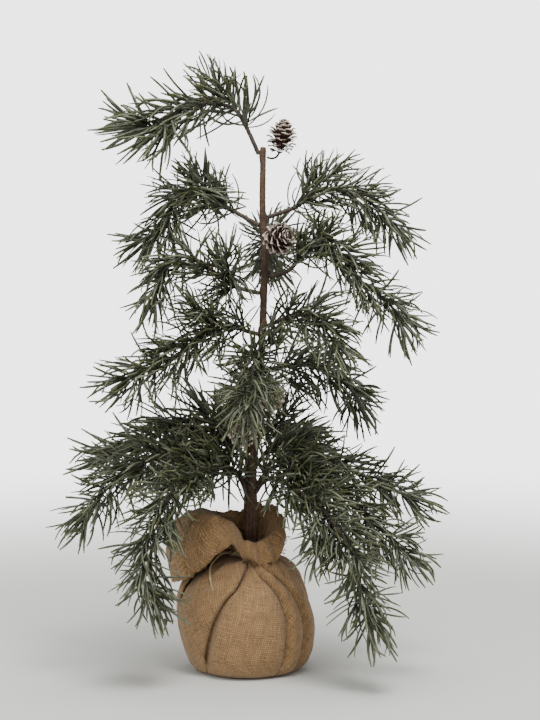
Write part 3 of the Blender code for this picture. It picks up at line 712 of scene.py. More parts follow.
def twine_tree(material, plies=3, step=0.7 * MM):
    """Lines to twine: strands that wind round each line, or one that lies along it."""
    tree, given = new_tree("twisted_twine", (("Radius", "NodeSocketFloat"), ("Twist", "NodeSocketFloat")))
    line = add(tree, "GeometryNodeMeshToCurve", {0: given.outputs["Geometry"]}).outputs[0]
    fine = add(tree, "GeometryNodeResampleCurve", {"Curve": line, "Length": step},
               mode="LENGTH").outputs[0]
    length = add(tree, "GeometryNodeSplineParameter").outputs["Length"]
    tangent = add(tree, "GeometryNodeInputTangent").outputs[0]
    normal = add(tree, "GeometryNodeInputNormal").outputs[0]
    side = vectors(tree, "CROSS_PRODUCT", tangent, normal)
    turns = maths(tree, "DIVIDE", length, given.outputs["Twist"])
    part = 0.52 if plies > 1 else 1.0
    half = maths(tree, "MULTIPLY", given.outputs["Radius"], part)
    away = maths(tree, "MULTIPLY", half, 1.0 if plies > 1 else 0.0)
    ring = add(tree, "GeometryNodeCurvePrimitiveCircle", {"Resolution": 7 if plies > 1 else 4,
                                                          "Radius": half}).outputs[0]
    strands = []
    for ply in range(plies):
        phase = maths(tree, "MULTIPLY_ADD", turns, 2 * math.pi, 2 * math.pi * ply / plies)
        cosine = maths(tree, "COSINE", phase)
        sine = maths(tree, "SINE", phase)
        one = scaled(tree, normal, cosine)
        two = scaled(tree, side, sine)
        way = vectors(tree, "ADD", one, two)
        offset = scaled(tree, way, away)
        moved = add(tree, "GeometryNodeSetPosition", {"Geometry": fine, "Offset": offset}).outputs[0]
        strands.append(add(tree, "GeometryNodeCurveToMesh", {"Curve": moved, "Profile Curve": ring,
                                                             "Fill Caps": True}).outputs[0])
    joined = add(tree, "GeometryNodeJoinGeometry", {0: strands}).outputs[0]
    return ended(tree, joined, material)


# Foliage

CROWDED_BELOW = 0.36  # the height of a hinge under which a branch is one of the low, crowded ones
# Where needles and side twigs start on a wire, as shares of its length, and the side twigs' scale: on the
# low branches, and on the others
LOW_WIRE = (0.15, 0.12, 1.5)
HIGH_WIRE = (0.24, 0.24, 1.25)
FIRST_WIRE_SPARSE = 1.6  # how much further apart the first branch's side twigs stand


def wire_line(name, hinge):
    """The middle of a branch's or cone's wire, from its hinge to its end."""
    thin = 1.2 * MM if name.endswith("_cone") else 2.2 * MM
    line, _ = centreline(name + "_wire", thin, hinge)
    return [line[0], *(p for p in line[1:] if (p - line[0]).length > 2 * MM)]


def spray_line(node, start):
    """(the middle of a spray's twig, its needles' length)

    A needle leans forward along its twig, so it is longer than its point stands off.
    """
    line, tips = centreline(node, 2.2 * MM, start)
    line = line[1:] if len(line) > 2 else line
    reaches = sorted(min((tip - p).length for p in line) for tip in tips)
    return line, 1.42 * reaches[len(reaches) * 3 // 4]


def side_runs(line, settings, dice, reach, start_share, end_share, scale, sparse=1.0):
    """Short twigs that leave a line by turns to each side, and lean forward along it."""
    total = line_length(line)
    runs = []
    distance = start_share * total
    turn = dice.uniform(0, 6.28)
    while distance < end_share * total:
        at, ahead = along_line(line, distance)
        across = ahead.orthogonal().normalized()
        across.rotate(Quaternion(ahead, turn))
        forward = dice.uniform(0.75, 1.15)
        way = (ahead * forward + across).normalized()
        length = settings.twig_length * scale * dice.uniform(0.7, 1.1) * (1.15 - 0.5 * distance / total)
        droop = Vector((0, 0, -0.10 * length))
        end = at + way * length + ahead * length * 0.12 + droop
        points = [at, at + way * length * 0.5 + droop * 0.3, end]
        twig = smoothed(points, 3 * MM)
        needles = {"reach": reach * dice.uniform(0.8, 1.0), "girth": settings.twig_radius}
        # The needles crowd towards a twig's end
        runs += [(twig, needles), (twig[-3:], needles)]
        distance += sparse * settings.twig_spacing * dice.uniform(0.8, 1.2)
        turn += GOLDEN_ANGLE
    return runs


class MakeFoliage(bpy.types.Operator):
    """Covers every branch with frosted needles on short twigs"""

    bl_idname = "tree.make_foliage"
    bl_label = "Make foliage"
    bl_options = {"REGISTER", "UNDO"}

    def execute(self, context):
        settings = context.scene.tree_foliage
        needle = frosted_polyethylene(settings)
        bark = crepe_paper_tape("moulded_twig", settings.green)
        sprays = needle_tree(needle, bark)
        for number, (body, name, hinge) in enumerate(branches()[0]):
            dice = random.Random(number)
            wire = wire_line(name, hinge)
            tip, reach = spray_line(name + "_tip_needles", wire[-1])
            reach = max(reach, settings.needle_length)
            needles_from, twigs_from, twig_scale = LOW_WIRE if hinge.z < CROWDED_BELOW else HIGH_WIRE
            covered = smoothed(wire, 4 * MM)
            covered = covered[int(len(covered) * needles_from):]
            stem = {"reach": reach, "girth": 1.9 * MM}
            runs = [(covered, stem), (smoothed(tip, 4 * MM), {"reach": 1.05 * reach, "girth": 1.5 * MM})]
            runs += [(runs[1][0][-4:], {"reach": 1.08 * reach, "girth": MM})] * 2
            sparse = 1.0 if number else FIRST_WIRE_SPARSE
            wire_runs = side_runs(wire, settings, dice, reach, twigs_from, 0.98, twig_scale, sparse)
            runs += side_runs(tip, settings, dice, reach, 0.05, 0.75, 0.8)
            inner = name + "_inner_needles"
            if inner in frame["nodes"]:
                twig, inner_reach = spray_line(inner, wire[len(wire) // 2])
                inner_reach = max(inner_reach, 0.85 * settings.needle_length)
                inside = [(smoothed(twig, 4 * MM), {"reach": inner_reach, "girth": 1.3 * MM})] * 2
                inside += side_runs(twig, settings, dice, inner_reach, 0.1, 0.9, 0.5)
                half = len(wire_runs) // 2
                self.grow(name + "_inner_foliage", inside + wire_runs[:half], sprays, settings, number, body,
                          inner)
                wire_runs = wire_runs[half:]
            self.grow(name + "_tip_foliage", runs + wire_runs, sprays, settings, number + 50, body,
                      name + "_tip_needles")
        return {"FINISHED"}

    def grow(self, name, runs, tree, settings, seed, body, node):
        made = grown(lines_object(name, runs), tree, {
            "Needle width": settings.needle_width, "Needle pitch": settings.needle_pitch, "Seed": seed})
        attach(made, body)
        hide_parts(node)


# Wires and trunk

TRUNK_GIRTHS = (4.35 * MM, 2.5 * MM)  # the taped trunk's radius at its foot and at its top
LOW_STEMS = 7  # how many branches' stems run up beside the trunk
STEMS_FROM = 0.112  # the height in the sack's neck from which those stems are seen


def wound(name, runs, tree, settings, sides, step, body, node):
    made = grown(lines_object(name, runs), tree, {
        "Pitch": settings.pitch, "Lap": settings.lap, "Sides": sides, "Step": step})
    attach(made, body)
    if node:
        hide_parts(node)
    return made


class MakeWires(bpy.types.Operator):
    """Winds tape round the trunk, its branch wires and the cones' wires"""

    bl_idname = "tree.make_wires"
    bl_label = "Make wires and trunk"
    bl_options = {"REGISTER", "UNDO"}

    def execute(self, context):
        settings = context.scene.tree_tape
        brown = tape_tree(crepe_paper_tape("brown_crepe_tape", settings.trunk))
        dark = tape_tree(crepe_paper_tape("dark_crepe_tape", settings.branch))
        limbs, cones = branches()
        for body, name, hinge in limbs:
            line = smoothed(wire_line(name, hinge), 2.5 * MM)
            girths = [1.9 * MM - 0.4 * MM * i / (len(line) - 1) for i in range(len(line))]
            wound(name + "_taped_wire", [(line, {"girth": girths})], dark, settings, 10, 1.2 * MM, body,
                  name + "_wire")
        for body, name, hinge in cones:
            line = smoothed(wire_line(name, hinge), 1.5 * MM)
            wound(name + "_taped_wire", [(line, {"girth": 0.7 * MM})], brown, settings, 8, 0.8 * MM, body,
                  name + "_wire")
        self.trunk(brown, settings, limbs + cones)
        return {"FINISHED"}

    def trunk(self, tree, settings, hinged):
        line, _ = centreline("trunk_paper_wrap", 3.2 * MM, frame_foot())
        line = sorted(line[1:], key=lambda p: p.z)
        line[-1].z -= 0.6 * MM
        fine = smoothed(line, 4 * MM)
        girths = []
        for p in fine:
            share = (p.z - line[0].z) / (line[-1].z - line[0].z)
            girths.append(TRUNK_GIRTHS[0] + (TRUNK_GIRTHS[1] - TRUNK_GIRTHS[0]) * share)
        runs = [(fine, {"girth": girths})]
        # Where a wire leaves, the tape is wound thicker, in a rounded lump
        for _, name, hinge in hinged:
            centre = min(fine, key=lambda p: (p - hinge).length)
            index = fine.index(centre)
            if name.endswith("_cone") or not 1 < index < len(fine) - 2:
                continue
            out = (hinge - centre) * 0.25
            run = [fine[i] + out for i in range(index - 2, index + 3)]
            base = girths[index]
            swell = [0.55, 0.92, 1.02, 0.92, 0.55]
            runs.append((run, {"girth": [base * s for s in swell]}))
        # The low branches' stems, which run up side by side out of the neck
        low_ones = sorted(hinged, key=lambda h: h[2].z)[:LOW_STEMS]
        for _, name, hinge in low_ones:
            out = Vector((hinge.x - fine[0].x, hinge.y - fine[0].y, 0)).normalized()
            top = hinge - out * 2.0 * MM
            span = top.z - STEMS_FROM
            bow = [(0.0, 2.0), (0.3, 5.2), (0.65, 4.6), (0.9, 3.8)]
            run = [Vector((fine[0].x, fine[0].y, STEMS_FROM + span * s)) + out * r * MM for s, r in bow]
            run.append(top)
            run = smoothed(run, 3 * MM)
            runs.append((run, {"girth": [2.3 * MM - 0.7 * MM * i / len(run) for i in range(len(run))]}))
        wound("trunk_tape", runs, tree, settings, 22, 0.9 * MM, BASE, "trunk_paper_wrap")


def frame_foot():
    low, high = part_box("trunk_paper_wrap")
    return Vector(((low[0] + high[0]) / 2, (low[1] + high[1]) / 2, low[2] - 0.01))


# Cones


def scale_shape():
    """One cone scale, one wide and standing along +Z: a thin shovel, hollow inside, with a rolled lip."""
    columns, rows = 6, 6
    mesh = bpy.data.meshes.new("cone_scale_shape")
    verts, faces, edge = [], [], []
    for side in (0, 1):
        for r in range(rows):
            t = r / (rows - 1)
            rounding = math.sqrt(max(0.0, 1 - max(0.0, (t - 0.45) / 0.56) ** 2.4))
            half = 0.5 * (0.45 + 0.75 * t) * rounding + 0.03
            for c in range(columns):
                u = 2 * c / (columns - 1) - 1
                cup = 0.20 * u * u * t
                lip = 0.22 * max(0.0, t - 0.65) ** 1.3 * 3
                thick = 0.035 * side * (1 - 0.4 * abs(u))
                verts.append((u * half, -lip + cup + thick - 0.05, 0.95 * t - 0.06 * u * u * t))
                edge.append(max(t, abs(u) * (0.25 + 0.75 * t)) ** 2)
    size_one = columns * rows
    for side in (0, 1):
        for r in range(rows - 1):
            for c in range(columns - 1):
                a = side * size_one + r * columns + c
                quad = (a, a + 1, a + columns + 1, a + columns)
                faces.append(quad if side == 0 else quad[::-1])
    rim = list(range(columns))
    rim += [r * columns + columns - 1 for r in range(1, rows)]
    rim += [(rows - 1) * columns + c for c in range(columns - 2, -1, -1)]
    rim += [r * columns for r in range(rows - 2, 0, -1)]
    for a, b in zip(rim, rim[1:] + rim[:1]):
        faces.append((b, a, a + size_one, b + size_one))
    mesh.from_pydata(verts, [], faces)
    mesh.attributes.new("edge", "FLOAT", "POINT").data.foreach_set("value", edge)
    mesh.update()
    return bpy.data.objects.new("cone_scale_shape", mesh)


class MakeCones(bpy.types.Operator):
    """Builds the four larch cones out of curved, frosted scales"""

    bl_idname = "tree.make_cones"
    bl_label = "Make cones"
    bl_options = {"REGISTER", "UNDO"}

    def execute(self, context):
        settings = context.scene.tree_cones
        tree = cone_tree(frosted_cone_scale(settings))
        shape = scale_shape()
        for number, (body, name, hinge) in enumerate(branches()[1]):
            end = wire_line(name, hinge)[-1]
            verts = [v.co for v in frame["nodes"][name].data.vertices]
            middle = sum(verts, Vector()) / len(verts)
            aim = (middle - end).normalized()
            ups = [(v - end).dot(aim) for v in verts]
            foot = end + aim * min(ups)
            wide = 2 * max(((v - end) - aim * (v - end).dot(aim)).length for v in verts)
            turn = aim.to_track_quat("Z", "Y").to_euler()
            start = lines_object(name + "_scales", [([foot, foot + aim * MM], {})])
            made = grown(start, tree, {
                "Scale shape": shape, "Scales": settings.scales, "Length": max(ups) - min(ups),
                "Width": wide, "Foot": tuple(foot), "Turn": tuple(turn), "Seed": number})
            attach(made, body)
            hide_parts(name)
        bpy.data.objects.remove(shape)
        return {"FINISHED"}


# The burlap

# The sack's outline in mm, (radius, height), on the right and on the fuller left
RIGHT_OUTLINE = ((47, 0.6), (52, 3), (57, 10), (61.5, 21), (64, 40), (63.5, 52), (60, 66), (55, 80),
                 (49, 93), (42.5, 103), (34, 110), (25, 113), (18, 114))
LEFT_OUTLINE = ((47, 0.6), (52, 3), (56, 10), (61.5, 22), (66, 42), (67.5, 58), (67.5, 70), (63, 84),
                (56, 95), (47, 104), (37, 110), (26, 113), (18, 114))
# Where each pleat's edge lies, as (height in mm, heading), from the floor to the neck
PLEATS = (
    ((0, 8), (60, 6), (90, -8), (113, -25)),
    ((0, 52), (60, 50), (90, 40), (113, 18)),
    ((0, 95), (60, 92), (90, 84), (113, 70)),
    ((0, 138), (60, 142), (90, 146), (113, 140)),
    ((0, 180), (60, 186), (90, 196), (113, 212)),
    ((0, 223), (18, 227), (44, 237), (75, 250), (89, 261), (108, 270), (113, 270)),
    ((0, 304), (60, 306), (74, 303), (88, 296), (99, 285), (108, 278), (113, 278)),
    ((0, 328), (60, 327), (79, 322), (90, 313), (99, 303), (108, 292), (113, 290)),
)
# How far each pleat laps over the next panel in mm, low down and at the shoulder
LAPS = ((14, 22), (14, 24), (14, 24), (14, 24), (14, 24), (16, 24), (6, 9), (12, 18))
WEAVE_TURNS = (38, -24, 52, 12, -35, 6, 46, 40)  # degrees, of each panel's threads
# The ruff above the tie, by heading: seven (radius, height) points in mm from the neck to the cut edge
RUFF = {
    40: ((18, 120), (20, 132), (23, 144), (26, 152), (29, 157), (31, 160), (33, 159)),
    90: ((18, 120), (20, 132), (23, 144), (26, 152), (28, 156), (30, 158), (32, 157)),
    112: ((18, 120), (20, 132), (24, 144), (31, 152), (39, 147), (45, 130), (48, 104)),
    135: ((18, 120), (21, 134), (28, 146), (38, 152), (49, 146), (56, 130), (57, 106)),
    160: ((18, 120), (24, 140), (37, 154), (52, 157), (66, 147), (73, 128), (74, 110)),
    186: ((18, 120), (25, 142), (40, 157), (58, 158), (72, 145), (79, 118), (74, 88)),
    205: ((18, 120), (24, 141), (38, 157), (55, 160), (69, 147), (76, 121), (69, 94)),
    225: ((18, 120), (24, 140), (36, 155), (51, 159), (63, 150), (69, 131), (64, 109)),
    243: ((18, 120), (22, 138), (31, 150), (42, 154), (51, 148), (55, 138), (53, 127)),
    253: ((18, 120), (20, 131), (26, 141), (34, 146), (41, 144), (45, 138), (45, 131)),
    263: ((18, 120), (20, 126), (24, 131), (28, 132), (32, 128), (33, 121), (31, 114)),
    292: ((18, 120), (20, 125), (23, 129), (27, 129), (31, 124), (34, 117), (37, 111)),
    318: ((18, 120), (20, 126), (23, 132), (27, 133), (32, 128), (36, 121), (40, 112)),
    345: ((18, 120), (20, 128), (23, 135), (27, 139), (32, 140), (36, 137), (38, 131)),
}
LAYER = 1.6 * MM  # from one layer of cloth to the next
PANEL_COLUMNS = 22  # of each panel's seen face
RETURN_COLUMNS = 6  # of the part of it that goes back under the next pleat
FOOT_ROWS, WALL_ROWS, RUFF_ROWS = 6, 46, 24
# In mm: the neck's and the foot's radius, the heights of the pot's foot band and of its top with room to
# spare, and the least radius of the cloth round each
NECK_RADIUS, FOOT_RADIUS = 18.0, 47
POT_BAND_Z, POT_TOP_Z = 14, 86
BAND_RADIUS, POT_RADIUS = 45.5, 51.6


def ease(value):
    """0 below 0, 1 above 1, and smooth between."""
    t = min(max(value, 0.0), 1.0)
    return t * t * (3 - 2 * t)


def table_value(table, key):
    """The value at a key in a rising table of (key, value), straight from entry to entry."""
    for (a, low), (b, high) in zip(table, table[1:]):
        if key <= b:
            break
    return low + (high - low) * min(max((key - a) / (b - a), 0.0), 1.0)


def on_outline(outline, share):
    """The (radius, height) in mm at a share of an outline's points."""
    at = share * (len(outline) - 1)
    low = min(int(at), len(outline) - 2)
    mix = at - low
    return tuple(a + (b - a) * mix for a, b in zip(outline[low], outline[low + 1]))


def body_point(share, heading):
    """(radius, height) in mm of the sack's wall, which is fuller on its left."""
    left = ease(0.5 - 0.75 * math.cos(math.radians(heading - 18)))
    right_at = on_outline(RIGHT_OUTLINE, share)
    left_at = on_outline(LEFT_OUTLINE, share)
    return tuple(a + (b - a) * left for a, b in zip(right_at, left_at))


def ruff_point(share, heading):
    """(radius, height) in mm of the ruff, with a few soft waves towards its edge."""
    keys = sorted(RUFF)
    turned = (heading - keys[0]) % 360 + keys[0]
    after = next((k for k in keys if k >= turned), keys[0] + 360)
    before = max((k for k in keys if k <= turned), default=keys[-1] - 360)
    mix = ease((turned - before) / (after - before)) if after > before else 0.0
    low = on_outline(RUFF[before], share)
    high = on_outline(RUFF[after % 360], share)
    radius, height = (a + (b - a) * mix for a, b in zip(low, high))
    angle = math.radians(heading)
    wave = noise.noise(Vector((4.5 * math.cos(angle), 4.5 * math.sin(angle), 1.3 * share)))
    fine = noise.noise(Vector((13 * math.cos(angle), 13 * math.sin(angle), 2 * share)))
    return radius + (5.0 * wave + 2.4 * fine) * share, height + (4.0 * wave + 2.4 * fine) * share


def cloth_rows():
    """(share of its part, part) of each row of the cloth, from the floor's middle to the cut edge."""
    rows = [(i / FOOT_ROWS, "foot") for i in range(1, FOOT_ROWS)]
    rows += [(i / WALL_ROWS, "wall") for i in range(WALL_ROWS + 1)]
    rows += [(0.5, "neck"), (1.0, "neck")]
    return rows + [(i / RUFF_ROWS, "ruff") for i in range(1, RUFF_ROWS + 1)]


def cloth_point(share, part, heading, depth, swell):
    """A point of the cloth, sunk by its depth under the pleats above it and swelled by a panel's bulge."""
    angle = math.radians(heading)
    if part == "foot":
        radius, height = FOOT_RADIUS * share, 0.6
        return Vector((radius * math.cos(angle), radius * math.sin(angle), height)) * MM
    if part == "wall":
        radius, height = body_point(share, heading)
        rise = ease(share * 6)
        gather = ease((height - 72) / 34)
        crease = noise.noise(Vector((9 * math.cos(angle), 9 * math.sin(angle), height / 70)))
        slack = noise.noise(Vector((2.4 * math.cos(angle), 2.4 * math.sin(angle), height / 40)))
        radius += rise * (swell * 3.4 * (1 - 0.6 * gather) + gather * 4.0 * crease + 1.3 * slack)
        radius -= rise * depth / MM
        if height < POT_TOP_Z:
            radius = max(radius, POT_RADIUS if height > POT_BAND_Z else BAND_RADIUS)
        # The shoulder's hollow under the knot, between the two front pleats
        hollow = math.exp(-((heading - 274) / 5) ** 2 - ((height - 104) / 6) ** 2)
        radius -= 6.0 * hollow
        radius = max(radius, NECK_RADIUS)
    elif part == "neck":
        radius, height = NECK_RADIUS - 0.3 * depth / MM, 114 + 6 * share
    else:
        radius, height = ruff_point(share, heading)
        radius -= 0.6 * depth / MM * (1 - share)
    return Vector((radius * math.cos(angle), radius * math.sin(angle), height)) * MM


def cloth_row(share, part):
    """The points of one row, panel by panel, once round."""
    level = {"foot": 0.0, "wall": body_point(share, 0)[1], "neck": 113.0, "ruff": 113.0}[part]
    radius = {"foot": FOOT_RADIUS * share, "wall": body_point(share, 0)[0], "neck": NECK_RADIUS,
              "ruff": 20.0}[part]
    full = ease((level - 8) / 14) if part != "ruff" else 1 - ease(share * 2.5)
    edges = [table_value(pleat, level) for pleat in PLEATS]
    count = len(edges)
    laps = []
    for i, (low, high) in enumerate(LAPS):
        wide = math.degrees((low + (high - low) * ease((level - 20) / 70)) / max(radius, NECK_RADIUS))
        room = (edges[i] - edges[i - 1]) % 360
        laps.append(full * min(wide, 0.7 * room))
    row = []
    for i in range(count):
        start = edges[i] - laps[i]
        end = edges[(i + 1) % count] + (360 if i == count - 1 else 0)
        for c in range(PANEL_COLUMNS):
            u = c / (PANEL_COLUMNS - 1)
            heading = start + (end - start) * u
            out = (heading - edges[i]) / max(end - edges[i], 1e-6)
            depth = 3.4 * LAYER * full * (1 - ease((heading - edges[i]) / 12))
            swell = math.sin(math.pi * min(max(out, 0.0), 1.0)) ** 0.7 if 0 < out < 1 else 0.0
            row.append(cloth_point(share, part, heading, depth, swell))
        for c in range(1, RETURN_COLUMNS + 1):
            v = c / (RETURN_COLUMNS + 1)
            heading = end - laps[(i + 1) % count] * v
            depth = LAYER * full * min(1.0, 0.25 + 3 * v)
            row.append(cloth_point(share, part, heading, depth, 0.0))
    return row


def burlap_mesh():
    """The cloth with its flat UV map, in metres, each panel's threads turned its own way."""
    rows = cloth_rows()
    points = [cloth_row(*r) for r in rows]
    across = len(points[0])
    panel = PANEL_COLUMNS + RETURN_COLUMNS
    bm = bmesh.new()
    uv = bm.loops.layers.uv.new("cloth")
    grid = [[bm.verts.new(p) for p in row] for row in points]
    pole = bm.verts.new((0, 0, 0.6 * MM))
    runs = []
    for row in points:
        arcs = []
        for p in range(len(PLEATS)):
            arc, middle = [0.0], p * panel + PANEL_COLUMNS // 2
            for c in range(1, panel + 1):
                arc.append(arc[-1] + (row[(p * panel + c) % across] - row[p * panel + c - 1]).length)
            half = arc[middle - p * panel]
            arcs.append([a - half for a in arc])
        runs.append(arcs)
    path = [0.0]
    for low, high in zip(points, points[1:]):
        path.append(path[-1] + sum((b - a).length for a, b in zip(low[::16], high[::16])) / len(low[::16]))

    def flat(r, p, c):
        turn = math.radians(WEAVE_TURNS[p])
        u, v = runs[r][p][c], path[r]
        return u * math.cos(turn) - v * math.sin(turn) + 0.1 * p, u * math.sin(turn) + v * math.cos(turn)

    for r in range(len(rows) - 1):
        for p in range(len(PLEATS)):
            for c in range(panel):
                a, b = p * panel + c, (p * panel + c + 1) % across
                face = bm.faces.new((grid[r][a], grid[r][b], grid[r + 1][b], grid[r + 1][a]))
                spots = (flat(r, p, c), flat(r, p, c + 1), flat(r + 1, p, c + 1), flat(r + 1, p, c))
                for loop, spot in zip(face.loops, spots):
                    loop[uv].uv = spot
    for c in range(across):
        face = bm.faces.new((pole, grid[0][(c + 1) % across], grid[0][c]))
        for loop in face.loops:
            loop[uv].uv = (loop.vert.co.x, loop.vert.co.y)
    mesh = bpy.data.meshes.new("burlap_sack")
    bm.to_mesh(mesh)
    bm.free()
    mesh.shade_smooth()
    return mesh, points


class MakeBurlap(bpy.types.Operator):
    """Folds the burlap square round the pot and pulls its ruff out above the tie"""

    bl_idname = "tree.make_burlap"
    bl_label = "Make burlap sack"
    bl_options = {"REGISTER", "UNDO"}

    def execute(self, context):
        settings = context.scene.tree_cloth
        mesh, points = burlap_mesh()
        sack = mesh_object("burlap_sack", mesh)
        mesh.materials.append(woven_burlap(settings))
        shell = sack.modifiers.new("thickness", "SOLIDIFY")
        shell.thickness = settings.thickness
        shell.offset = 0.0
        depsgraph = bpy.context.evaluated_depsgraph_get()
        sack.data = bpy.data.meshes.new_from_object(sack.evaluated_get(depsgraph), depsgraph=depsgraph)
        sack.modifiers.clear()
        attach(sack, BASE)
        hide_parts("burlap_wrap")
        frays = self.frays(points[-1], settings)
        return {"FINISHED"}

    def frays(self, edge, settings):
        """Loose threads along the cut edge."""
        dice = random.Random(5)
        runs = []
        for i in range(0, len(edge), 2):
            here, there = edge[i], edge[(i + 3) % len(edge)]
            if (there - here).length < 0.3 * MM:
                continue
            along = (there - here).normalized()
            for _ in range(2 if dice.random() < 0.5 else 1):
                start = here.lerp(there, dice.random())
                out = Vector((start.x, start.y, 0)).normalized()
                way = (out * dice.uniform(0.1, 1.0) + along * dice.uniform(-0.9, 0.9)
                       + Vector((0, 0, dice.uniform(-0.9, 0.2)))).normalized()
                length = dice.uniform(1.5, 6.5) * MM
                bend = Vector((dice.uniform(-1, 1), dice.uniform(-1, 1), dice.uniform(-1, 0.3))) * 0.25
                points = [start - way * MM, start + way * length * 0.5,
                          start + (way + bend).normalized() * length]
                runs.append((smoothed(points, MM), {}))
        tree = twine_tree(twisted_jute("jute_fray", settings.straw), plies=1, step=1.5 * MM)
        made = grown(lines_object("burlap_frays", runs), tree, {"Radius": 0.32 * MM, "Twist": 3 * MM})
        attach(made, BASE)
        return made


# The tie

TIE_TURNS, TIE_SIDES = 2, 48
# The loose end's route, as (radius in mm, heading, height in mm)
TAIL = ((21.1, 214, 117), (27.1, 215, 118), (37.12, 218, 114.6), (51.2, 226, 106.9),
        (61.12, 236, 93.6), (64.32, 243, 81.9))


class MakeTie(bpy.types.Operator):
    """Winds the twine round the sack's neck and hangs its loose end"""

    bl_idname = "tree.make_tie"
    bl_label = "Make tie and tail"
    bl_options = {"REGISTER", "UNDO"}

    def execute(self, context):
        settings = context.scene.tree_cloth
        tree = twine_tree(twisted_jute("jute_twine", settings.twine))
        low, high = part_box("jute_tie")
        middle = (low[2] + high[2]) / 2
        radius = (high[0] - low[0]) / 2 - 1.3 * MM
        turns = []
        for i in range(TIE_TURNS * TIE_SIDES + 1):
            angle = 2 * math.pi * i / TIE_SIDES + math.radians(TAIL[0][1])
            lift = (i / (TIE_TURNS * TIE_SIDES) - 0.5) * 2.6 * MM
            turns.append(Vector((radius * math.cos(angle), radius * math.sin(angle), middle + lift)))
        wrap = grown(lines_object("twine_turns", [(turns, {})]), tree, {"Radius": 1.2 * MM, "Twist": 7 * MM})
        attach(wrap, BASE)
        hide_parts("jute_tie")
        route = [headed(h) * r * MM + Vector((0, 0, z * MM)) for r, h, z in TAIL]
        path = smoothed(route, 2 * MM)
        tail = grown(lines_object("twine_tail", [(path, {})]), tree, {"Radius": 1.0 * MM, "Twist": 6 * MM})
        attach(tail, BASE)
        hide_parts("jute_tie_tail")
        return {"FINISHED"}


# The pieces that stay


class FinishBase(bpy.types.Operator):
    """Gives the pot, its weight and the trunk's core their finishes"""

    bl_idname = "tree.finish_base"
    bl_label = "Finish pot, weight and core"
    bl_options = {"REGISTER", "UNDO"}

    def execute(self, context):
        for node, finish in (("plastic_pot", moulded_polypropylene()), ("cement_weight", cast_cement()),
                             ("trunk_core", drawn_steel())):
            frame["nodes"][node].material_slots[0].material = finish
        return {"FINISHED"}


# The stage

CAMERA_LENS = 112.4  # mm
CAMERA_RISE = 5.5  # degrees above level
CAMERA_TARGET = (22.5 * MM, 0, 306.4 * MM)


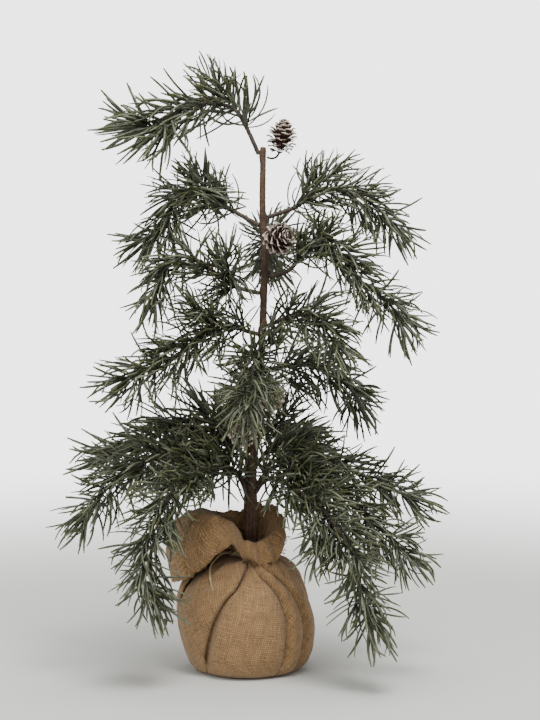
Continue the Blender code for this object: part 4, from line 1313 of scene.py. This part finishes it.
class BuildStudio(bpy.types.Operator):
    """Lays the studio paper, sets the lights and stands the camera"""

    bl_idname = "tree.build_studio"
    bl_label = "Build studio"
    bl_options = {"REGISTER", "UNDO"}

    def execute(self, context):
        settings = context.scene.tree_studio
        self.camera(settings)
        paper = self.paper(settings)
        lights = [
            self.light("key_light", (0.35, -0.9, 2.2), (0, 0, 0.25), 1.0, 60),
            self.light("fill_light", (-1.6, -1.6, 1.2), (0, 0, 0.25), 1.5, 18),
            self.light("top_light", (0.1, 0.5, 2.3), (0, 0, 0.3), 1.4, 26),
        ]
        world = bpy.data.worlds.new("studio")
        world.use_nodes = True
        tree = world.node_tree
        # The backdrop is a bright even white, and lights the tree as a dimmer one would
        seen = add(tree, "ShaderNodeLightPath").outputs["Is Camera Ray"]
        strength = ranged(tree, seen, target=(0.7, 3.5))
        tree.links.new(strength, tree.nodes["Background"].inputs["Strength"])
        tree.nodes["Background"].inputs["Color"].default_value = (0.985, 1.0, 0.992, 1)
        context.scene.world = world
        return {"FINISHED"}

    def camera(self, settings):
        data = bpy.data.cameras.new("studio_camera")
        data.sensor_width = 36
        data.lens = CAMERA_LENS
        camera = bpy.data.objects.new("studio_camera", data)
        bpy.context.scene.collection.objects.link(camera)
        rise = math.radians(CAMERA_RISE)
        target = Vector(CAMERA_TARGET)
        back = Vector((0, -math.cos(rise), math.sin(rise)))
        camera.location = target + back * settings.distance
        camera.rotation_euler = (-back).to_track_quat("-Z", "Y").to_euler()
        data.clip_end = 50
        bpy.context.scene.camera = camera

    def paper(self, settings):
        """A round floor of paper, which fades into the backdrop towards its edge."""
        mesh = bpy.data.meshes.new("paper_floor")
        sides = 96
        reach = settings.wall + 0.45
        verts = [(reach * math.cos(2 * math.pi * i / sides), reach * math.sin(2 * math.pi * i / sides), 0)
                 for i in range(sides)]
        mesh.from_pydata(verts, [], [tuple(range(sides))])
        mesh.materials.append(studio_paper(settings.floor, settings.wall, reach))
        return mesh_object("paper_floor", mesh)

    def light(self, name, at, to, size_of_light, watts):
        data = bpy.data.lights.new(name, "AREA")
        data.shape = "DISK"
        data.size = size_of_light
        data.energy = watts
        light = bpy.data.objects.new(name, data)
        light.location = at
        light.rotation_euler = (Vector(at) - Vector(to)).to_track_quat("Z", "Y").to_euler()
        bpy.context.scene.collection.objects.link(light)
        return light


class TreePanel(bpy.types.Panel):
    """Lists the tree's operators and their sizes and colours"""

    bl_idname = "VIEW3D_PT_tabletop_tree"
    bl_label = "Tabletop Tree"
    bl_space_type = "VIEW_3D"
    bl_region_type = "UI"
    bl_category = "Tabletop Tree"

    def draw(self, context):
        for group, operators in PANEL_ROWS:
            box = self.layout.box()
            settings = getattr(context.scene, group)
            for name in settings.bl_rna.properties.keys():
                if name not in ("rna_type", "name"):
                    box.prop(settings, name)
            for operator in operators:
                box.operator(operator)


PANEL_ROWS = (
    ("tree_studio", ("tree.build_studio",)),
    ("tree_cloth", ("tree.make_tie", "tree.make_burlap", "tree.finish_base")),
    ("tree_tape", ("tree.make_wires",)),
    ("tree_cones", ("tree.make_cones",)),
    ("tree_foliage", ("tree.make_foliage",)),
)
GROUPS = {"tree_foliage": FoliageSettings, "tree_tape": TapeSettings, "tree_cones": ConeSettings,
          "tree_cloth": ClothSettings, "tree_studio": StudioSettings}
OPERATORS = (BuildStudio, MakeTie, MakeBurlap, FinishBase, MakeWires, MakeCones, MakeFoliage)


def register():
    for cls in (*GROUPS.values(), *OPERATORS, TreePanel):
        bpy.utils.register_class(cls)
    for name, cls in GROUPS.items():
        setattr(bpy.types.Scene, name, PointerProperty(type=cls))


def unregister():
    for name in GROUPS:
        delattr(bpy.types.Scene, name)
    for cls in reversed((*GROUPS.values(), *OPERATORS, TreePanel)):
        bpy.utils.unregister_class(cls)


def main():
    register()
    for operators in (("build_studio",), ("make_tie", "make_burlap", "finish_base"), ("make_wires",),
                      ("make_cones",), ("make_foliage",)):
        for operator in operators:
            getattr(bpy.ops.tree, operator)()


if __name__ == "__main__":
    main()
